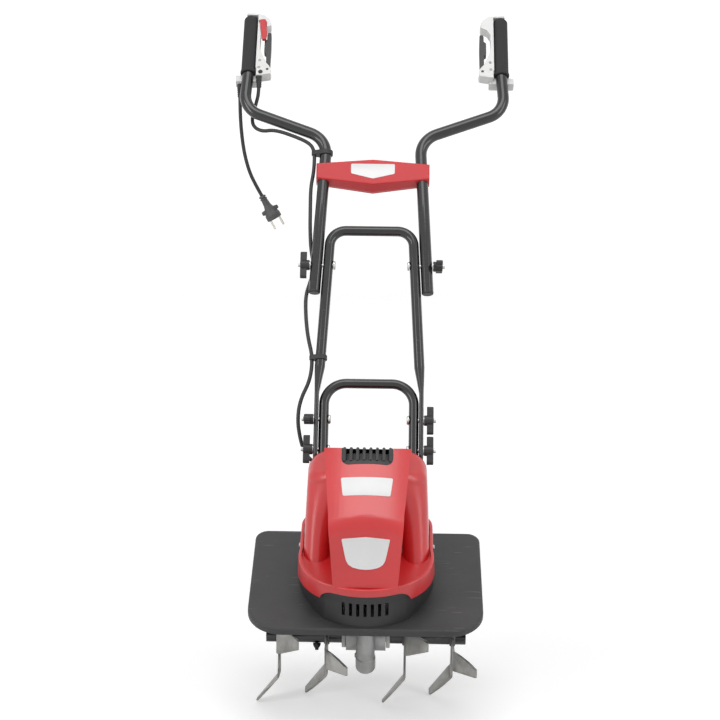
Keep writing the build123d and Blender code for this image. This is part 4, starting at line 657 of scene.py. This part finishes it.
# %% Cover with a rolled knee
cover = copy_of("top_cover", "top_cover_rolled")
bpy.ops.mesh.customdata_custom_splitnormals_clear()
edit_all()
bpy.ops.mesh.remove_doubles(threshold=MERGE_WITHIN)
bpy.ops.mesh.select_mode(type="FACE")
bpy.ops.mesh.select_all(action="DESELECT")
bpy.ops.object.mode_set(mode="OBJECT")
for face in cover.data.polygons:
    face.select = near_knee(face)
print("faces at the knee", sum(face.select for face in cover.data.polygons))
bpy.ops.object.mode_set(mode="EDIT")
bpy.ops.mesh.hide(unselected=True)
across = (front_up + slope_back).normalized()
cut_strips(knee_corner, across, ROW, range(-13, 11))
cut_strips(Vector(), X_AXIS, COLUMN, range(-15, 16))
bpy.ops.mesh.reveal(select=False)
bpy.ops.mesh.select_mode(type="VERT")
bpy.ops.object.mode_set(mode="OBJECT")
drawn = 0
for vertex in cover.data.vertices:
    if abs(vertex.co.x) < SPINE_HALF - SIDE_KEPT:
        arm = from_roll(vertex.co)
        proud = arm.length - ROLL
        if arm.dot(front_up) >= 0 and arm.dot(slope_back) <= 0 and 0 < proud < PROUD_MOST:
            vertex.co -= arm * (proud / arm.length)
            drawn += 1
bpy.ops.object.shade_smooth_by_angle(angle=math.radians(30))
even = cover.modifiers.new("even_light", "WEIGHTED_NORMAL")
even.keep_sharp = True
bpy.ops.object.modifier_apply(modifier=even.name)
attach(cover, "machine")
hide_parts("top_cover")
print(cover.name, "points drawn in", drawn, "faces", len(cover.data.polygons))

# %% [markdown]
# ## Dark sheet under the vent
# Through the vent's slots one sees a dark sheet. It is painted shade: it darkens the slots where the
# shade inside the cover falls, and it is no part of the machine. It is a strip folded over the crest:
# a plane under the slope, whose rear edge is extruded down the back. It is bisected and dropped to
# the same crown as the cover, and its sides are turned up to the vent.

# %% Shade sheet under the vent
BACK = (101.0, 338.0)
SHADE_SHEET_HALF = 0.046
SHADE_SHEET_DEEP = 0.0105
SHADE_SHEET_TURN_UP = 0.0045
SHADE_SHEET_WALL = 0.0012
back_up = HEAD_TURN @ Vector((0, CREST[1] - BACK[1], BACK[0] - CREST[0])).normalized()
# A dark sheet under the vent's slots: painted shade, not a part of the machine.
bpy.ops.mesh.primitive_plane_add(size=0.01)
shade_sheet = bpy.context.object
shade_sheet.name = "vent_shade_sheet"
fold = on_head(0, 57.8, 362.2)
front = on_slope(0, KNEE, CREST, 120) - slope_up * SHADE_SHEET_DEEP
rear = on_slope(0, CREST, BACK, 44) - back_up * SHADE_SHEET_DEEP
side_step = X_AXIS * SHADE_SHEET_HALF
corners = (front - side_step, front + side_step, fold - side_step, fold + side_step)
for vertex, place in zip(shade_sheet.data.vertices, corners):
    vertex.co = place
select_points(shade_sheet, lambda vertex: vertex.index > 1)
bpy.ops.object.mode_set(mode="EDIT")
bpy.ops.mesh.extrude_region_move(TRANSFORM_OT_translate={"value": rear - fold})
cut_strips(Vector(), X_AXIS, STRIP, STRIPS)
bpy.ops.object.mode_set(mode="OBJECT")
for vertex in shade_sheet.data.vertices:
    vertex.co = crowned(vertex.co)
select_points(shade_sheet, lambda vertex: abs(vertex.co.x) > SHADE_SHEET_HALF - 0.0005)
bpy.ops.object.mode_set(mode="EDIT")
turn_up = HEAD_TURN @ Vector((0, 0, SHADE_SHEET_TURN_UP))
bpy.ops.mesh.extrude_region_move(TRANSFORM_OT_translate={"value": turn_up})
face_outwards()
wall = shade_sheet.modifiers.new("wall", "SOLIDIFY")
wall.thickness = SHADE_SHEET_WALL
wall.offset = 0.0
bpy.ops.object.modifier_apply(modifier=wall.name)
soften(shade_sheet, FINE_EDGE, 35)
shade_sheet.data.materials.append(finishes["vent_black"])
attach(shade_sheet, "machine")
print("baffle faces", len(shade_sheet.data.polygons))

# %% [markdown]
# ## Ribbed sleeves on the leads
# Where a lead enters a shell, a ribbed rubber sleeve keeps it from kinking. Each sleeve is grown as
# on a lathe: a disc is extruded along the lead step by step, and each new ring is scaled to the
# radius of a rib or of the groove after it. The sleeves at the cover and under the grip take the
# place of the plain solids there.


# %% Turned pieces
def turned(name, start, along, outline, body, slot, corners=32):
    """Grow a round piece along a line from pairs of distance and radius, in millimetres."""
    along = along.normalized()
    bpy.ops.mesh.primitive_circle_add(vertices=corners, radius=outline[0][1] / 1000, fill_type="NGON",
                                      location=start + along * outline[0][0] / 1000,
                                      rotation=along.to_track_quat("Z", "Y").to_euler())
    made = bpy.context.object
    made.name = name
    bpy.ops.object.transform_apply()
    edit_all()
    for (last_t, last_r), (t, r) in zip(outline, outline[1:]):
        bpy.ops.mesh.extrude_region_move(TRANSFORM_OT_translate={"value": along * (t - last_t) / 1000})
        bpy.ops.transform.resize(value=(r / last_r,) * 3, center_override=start + along * t / 1000)
    face_outwards()
    soften(made, FINE_EDGE, 40)
    made.data.materials.append(finishes[slot])
    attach(made, body)
    print(name, "faces", len(made.data.polygons))
    return made


def ribs(first, last, count, wide, narrow, groove):
    """Outline of ribs that get smaller from the first to the last, with a groove after each."""
    outline = []
    space = (last - first) / count
    for step in range(count):
        t = first + (last - first) * step / count
        r = wide + (narrow - wide) * step / count
        outline += [(t, r), (t + 0.55 * space, r), (t + 0.62 * space, r - groove),
                    (t + 0.93 * space, r - groove)]
    return outline + [(last, narrow)]


# %% Sleeves
gland_seat = on_head(-52.0, 104.1, 250.0)
gland_line = HEAD_TURN @ Vector((0, 1, 0))
outline = [(0, 9.0), (3.5, 9.0), (3.6, 6.6)] + ribs(4.2, 21.5, 5, 6.4, 4.8, 0.8)
sleeve = turned("cover_sleeve", gland_seat, gland_line, outline, "machine", "cord_black")
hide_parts("lead_gland")
grip_drop = Vector((supply_route[0].x, SUPPLY_BACK, 1.0881))
outline = [(0, 5.5), (10, 5.5)] + ribs(10.6, 28, 5, 5.5, 4.7, 0.7)
sleeve = turned("grip_sleeve", grip_drop, Vector((0, 0, -1)), outline, "upper_handle", "cord_black")
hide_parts("supply_gland")
switch_exit = on_grip(21, -5, -8)
outline = [(0, 6.0), (2.0, 6.0)] + ribs(2.6, 22, 5, 5.6, 4.6, 0.7)
turned("switch_sleeve", switch_exit, motor_route[1] - switch_exit, outline, "upper_handle", "cord_black")

# %% [markdown]
# ## Plug
# The plug is moulded on to its lead. The solid has its tapering body; a ribbed collar round its neck
# and two finger ears at its sides are what a hand pulls on. An ear starts as a cube: its outer end is
# drawn in and stretched along the plug, and all its edges are rounded.

# %% Plug collar and ears
plug_neck = supply_route[-1]
plug_line = Vector((0.5, 0, -math.sqrt(0.75)))
plug_side = Vector((math.sqrt(0.75), 0, 0.5))
EAR_SIZE = 0.010
EAR_DOWN = 0.0255
EAR_OUT = 0.0125
EAR_ROUND = 0.0018
outline = [(-7, 4.6), (-6, 6.6), (-3.5, 7.6), (-2.6, 5.2)]
outline += [(-1.6, 5.2), (-0.8, 7.0), (1.2, 7.2), (2.0, 6.6)]
collar = turned("plug_collar", plug_neck, plug_line, outline, "upper_handle", "plug_black")


def plug_ear(name, side):
    heart = plug_neck + plug_line * EAR_DOWN + plug_side * side * EAR_OUT
    bpy.ops.mesh.primitive_cube_add(size=EAR_SIZE, location=heart,
                                    rotation=plug_line.to_track_quat("Z", "Y").to_euler())
    made = bpy.context.object
    made.name = name
    bpy.ops.object.transform_apply()
    select_points(made, lambda vertex: (vertex.co - heart).dot(plug_side) * side > 0.001)
    bpy.ops.object.mode_set(mode="EDIT")
    outer = heart + plug_side * side * EAR_SIZE / 2
    bpy.ops.transform.resize(value=(0.72, 0.55, 0.72), center_override=outer)
    bpy.ops.object.mode_set(mode="OBJECT")
    soften(made, EAR_ROUND, 50)
    made.data.materials.append(finishes["plug_black"])
    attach(made, "upper_handle")
    print(name, "faces", len(made.data.polygons))
    return made


ears = [plug_ear("plug_ear_left", -1), plug_ear("plug_ear_right", 1)]

# %% [markdown]
# ## Worn tines
# A stamped tine leaves the press with square corners, but soil soon rounds its tips and takes the
# edge off its outline. Each star is a merged copy of its solid. The short edges across the plate at
# its corners are picked by their direction, length and angle and get a wide bevel; a narrow one then
# runs round the whole outline.

# %% Rounding one star
TIP_REACH = 0.060
TIP_ROUND = 0.0030
STAR_EDGE = 0.0005
ACROSS_LEAST = 0.0035
ACROSS_MOST = 0.0065


def worn_star(node):
    made = copy_of(node, node + "_worn")
    edit_all()
    bpy.ops.mesh.remove_doubles(threshold=MERGE_WITHIN)
    bpy.ops.mesh.dissolve_limited(angle_limit=math.radians(1.5))
    bpy.ops.mesh.select_all(action="DESELECT")
    bpy.ops.object.mode_set(mode="OBJECT")
    sides = {}
    for face in made.data.polygons:
        for key in face.edge_keys:
            sides.setdefault(key, []).append(face.normal)
    corners = 0
    for edge in made.data.edges:
        a, b = (made.data.vertices[number].co for number in edge.vertices)
        reach = Vector((0, a.y - AXLE.y, a.z - AXLE.z)).length
        first, second = sides[tuple(sorted(edge.vertices))]
        span = (a - b).length
        across = abs(a.x - b.x) > 0.7 * span and ACROSS_LEAST < span < ACROSS_MOST
        edge.select = across and reach > TIP_REACH and first.angle(second) > math.radians(25)
        corners += edge.select
    bpy.ops.object.mode_set(mode="EDIT")
    bpy.ops.mesh.select_mode(type="EDGE")
    bpy.ops.mesh.bevel(offset=TIP_ROUND, segments=4, affect="EDGES", clamp_overlap=True)
    bpy.ops.mesh.select_mode(type="VERT")
    bpy.ops.object.mode_set(mode="OBJECT")
    soften(made, STAR_EDGE, 35)
    made.data.materials.clear()
    made.data.materials.append(finishes["tine_steel"])
    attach(made, "tine_shaft")
    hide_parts(node)
    print(made.name, "corners", corners, "faces", len(made.data.polygons))


# %% Four stars
for node in ("tine_star_left_outer", "tine_star_left_inner", "tine_star_right_inner",
             "tine_star_right_outer"):
    worn_star(node)

# %% [markdown]
# ## Weld beads
# Each star is welded to its sleeve on both faces. A weld is a row of overlapping ripples, so the bead
# starts as a ring, and every other slice of it is swollen a little. It is modelled once and copied,
# and each copy gets a mesh of its own, moved to its star.

# %% One bead
BEAD_RING = 0.0128
BEAD_THICK = 0.0022
BEAD_SLICES = 56
BEAD_CORNERS = 10
bpy.ops.mesh.primitive_torus_add(major_radius=BEAD_RING, minor_radius=BEAD_THICK,
                                 major_segments=BEAD_SLICES, minor_segments=BEAD_CORNERS,
                                 location=AXLE, rotation=(0, math.pi / 2, 0))
bead = bpy.context.object
bead.name = "weld_bead_1"
bpy.ops.object.transform_apply()
for number, vertex in enumerate(bead.data.vertices):
    vertex.select = (number // BEAD_CORNERS) % 2 == 0
bpy.ops.object.mode_set(mode="EDIT")
bpy.ops.transform.resize(value=(1.22, 1.035, 1.035), center_override=AXLE)
face_outwards()
smooth = bead.modifiers.new("smooth", "SUBSURF")
smooth.levels = 1
smooth.render_levels = 1
bpy.ops.object.modifier_apply(modifier=smooth.name)
bpy.ops.object.shade_smooth()
bead.data.materials.append(finishes["tine_steel"])
print("bead faces", len(bead.data.polygons))

# %% Beads on all stars
STARS = (-157, -71, 71, 157)
STAR_FACES = (-2.6, 2.6)
BEAD_TURN = 0.37
places = [star + face for star in STARS for face in STAR_FACES]
beads = [bead]
for number in range(2, len(places) + 1):
    copy = bead.copy()
    copy.data = bead.data.copy()
    copy.name = f"weld_bead_{number}"
    bpy.context.collection.objects.link(copy)
    beads.append(copy)
for number, (piece, x) in enumerate(zip(beads, places)):
    turn = Matrix.Rotation(BEAD_TURN * number, 4, "X")
    spin = Matrix.Translation(AXLE) @ turn @ Matrix.Translation(-AXLE)
    piece.data.transform(Matrix.Translation((x / 1000, 0, 0)) @ spin)
    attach(piece, "tine_shaft")
print("weld beads", len(beads))

# %% [markdown]
# ## Shell screws
# Each switch shell is held together by two small screws. A screw head is a low, turned button. Its
# socket is an inset face pushed inwards. A larger round cap clamps the motor lead at the foot of the
# left shell.

# %% Screws in the switch shells
SHELL_FACE = -11
SOCKET_RIM = 0.0011
SOCKET_DEEP = 0.0008


def shell_screw(name, place, front):
    button = [(-0.6, 3.0), (0.5, 3.0), (0.9, 2.5)]
    made = turned(name, place, front, button, "upper_handle", "screw_steel", 24)
    for edge in made.data.edges:
        edge.select = False
    for vertex in made.data.vertices:
        vertex.select = False
    for face in made.data.polygons:
        face.select = face.normal.dot(front) > 0.99 and len(face.vertices) > 8
    bpy.ops.object.mode_set(mode="EDIT")
    bpy.ops.mesh.inset(thickness=SOCKET_RIM, depth=0)
    bpy.ops.mesh.extrude_region_move(TRANSFORM_OT_translate={"value": -front * SOCKET_DEEP})
    bpy.ops.object.mode_set(mode="OBJECT")


grip_front = HANDLE_TURN @ GRIP_TURN @ Vector((0, -1, 0))
for number, (x, up) in enumerate(((21.5, 26), (20.5, 9)), 1):
    place = on_grip(x, SHELL_FACE, up)
    shell_screw(f"shell_screw_left_{number}", place, grip_front)
    shell_screw(f"shell_screw_right_{number}", mirrored(place), grip_front)
outline = [(-0.6, 4.3), (0.8, 4.3), (1.4, 3.9), (1.5, 2.6), (1.1, 2.3), (1.1, 1.2), (1.6, 0.9)]
cap_seat = on_grip(24, SHELL_FACE, -2)
turned("lead_clamp_cap", cap_seat, grip_front, outline, "upper_handle", "knob_black", 28)

# %% [markdown]
# ## Studio
# A pale floor runs out to the horizon. Most of the light is an even sky, and large soft lamps above,
# beside and behind the machine add the long highlights on the tubes and the cover. Seen by the camera
# or in a reflection, floor and sky are nearly white. The floor does it with a little emission, more
# of it far away where the lamps don't reach, and keeps the machine's shadow.


# %% Floor
def looked_at(tree):
    """One for rays that show a surface to the camera, nought for rays that only carry light."""
    path = tree.nodes.new("ShaderNodeLightPath")
    rays = [Level(tree, path.outputs[name])
            for name in ("Is Camera Ray", "Is Glossy Ray", "Is Transmission Ray")]
    return rays[0] + rays[1] + rays[2]


bpy.ops.mesh.primitive_plane_add(size=300, location=(0, 0, 0))
floor = bpy.context.object
floor.name = "studio_floor"
ground = Finish("studio_floor")
far = ground.node("ShaderNodeVectorMath", {"operation": "LENGTH"}, out="Value", i0=ground.place)
glow = ground.ramp(far * 0.1, [(0.06, 0.36), (0.22, 0.47), (0.55, 0.66), (0.90, 0.72)])
mottle = ground.noise(1.5, 3.0)
tone = ground.mix(mottle, (0.79, 0.79, 0.79), (0.81, 0.81, 0.81))
shown = ground.mix(looked_at(ground.tree), (0.0, 0.0, 0.0), glow)
floor.data.materials.append(ground.shade(Base_Color=tone, Roughness=0.8, Emission_Strength=1.0,
                                         Emission_Color=shown))
print("floor", floor.name)


# %% Lamps
def soft_lamp(name, place, target, width, height, power):
    bpy.ops.object.light_add(type="AREA", location=place)
    lamp = bpy.context.object
    lamp.name = name
    lamp.data.shape = "RECTANGLE"
    lamp.data.size = width
    lamp.data.size_y = height
    lamp.data.energy = power
    lamp.rotation_euler = (Vector(target) - Vector(place)).to_track_quat("-Z", "Y").to_euler()


middle = (0, 0, 0.6)
soft_lamp("lamp_over", (0.0, -0.9, 3.4), middle, 2.0, 1.6, 31)
soft_lamp("lamp_left", (-2.6, -2.0, 1.8), middle, 1.0, 2.6, 34)
soft_lamp("lamp_right", (2.7, -1.6, 1.8), middle, 1.0, 2.6, 27)
soft_lamp("lamp_back", (0.0, 2.8, 2.2), middle, 2.4, 1.4, 12)
print("lamps set")

# %% Sky
sky = bpy.data.worlds.new("studio_sky")
bpy.context.scene.world = sky
sky.use_nodes = True
SKY_LIGHT = 0.40
SKY_SEEN = 0.60
shine = SKY_LIGHT + SKY_SEEN * looked_at(sky.node_tree)
join(sky.node_tree, sky.node_tree.nodes["Background"].inputs["Color"], shine)
bpy.context.scene.view_settings.view_transform = "Standard"
print("studio set")

# %% Last update of the scene
bpy.context.view_layer.update()
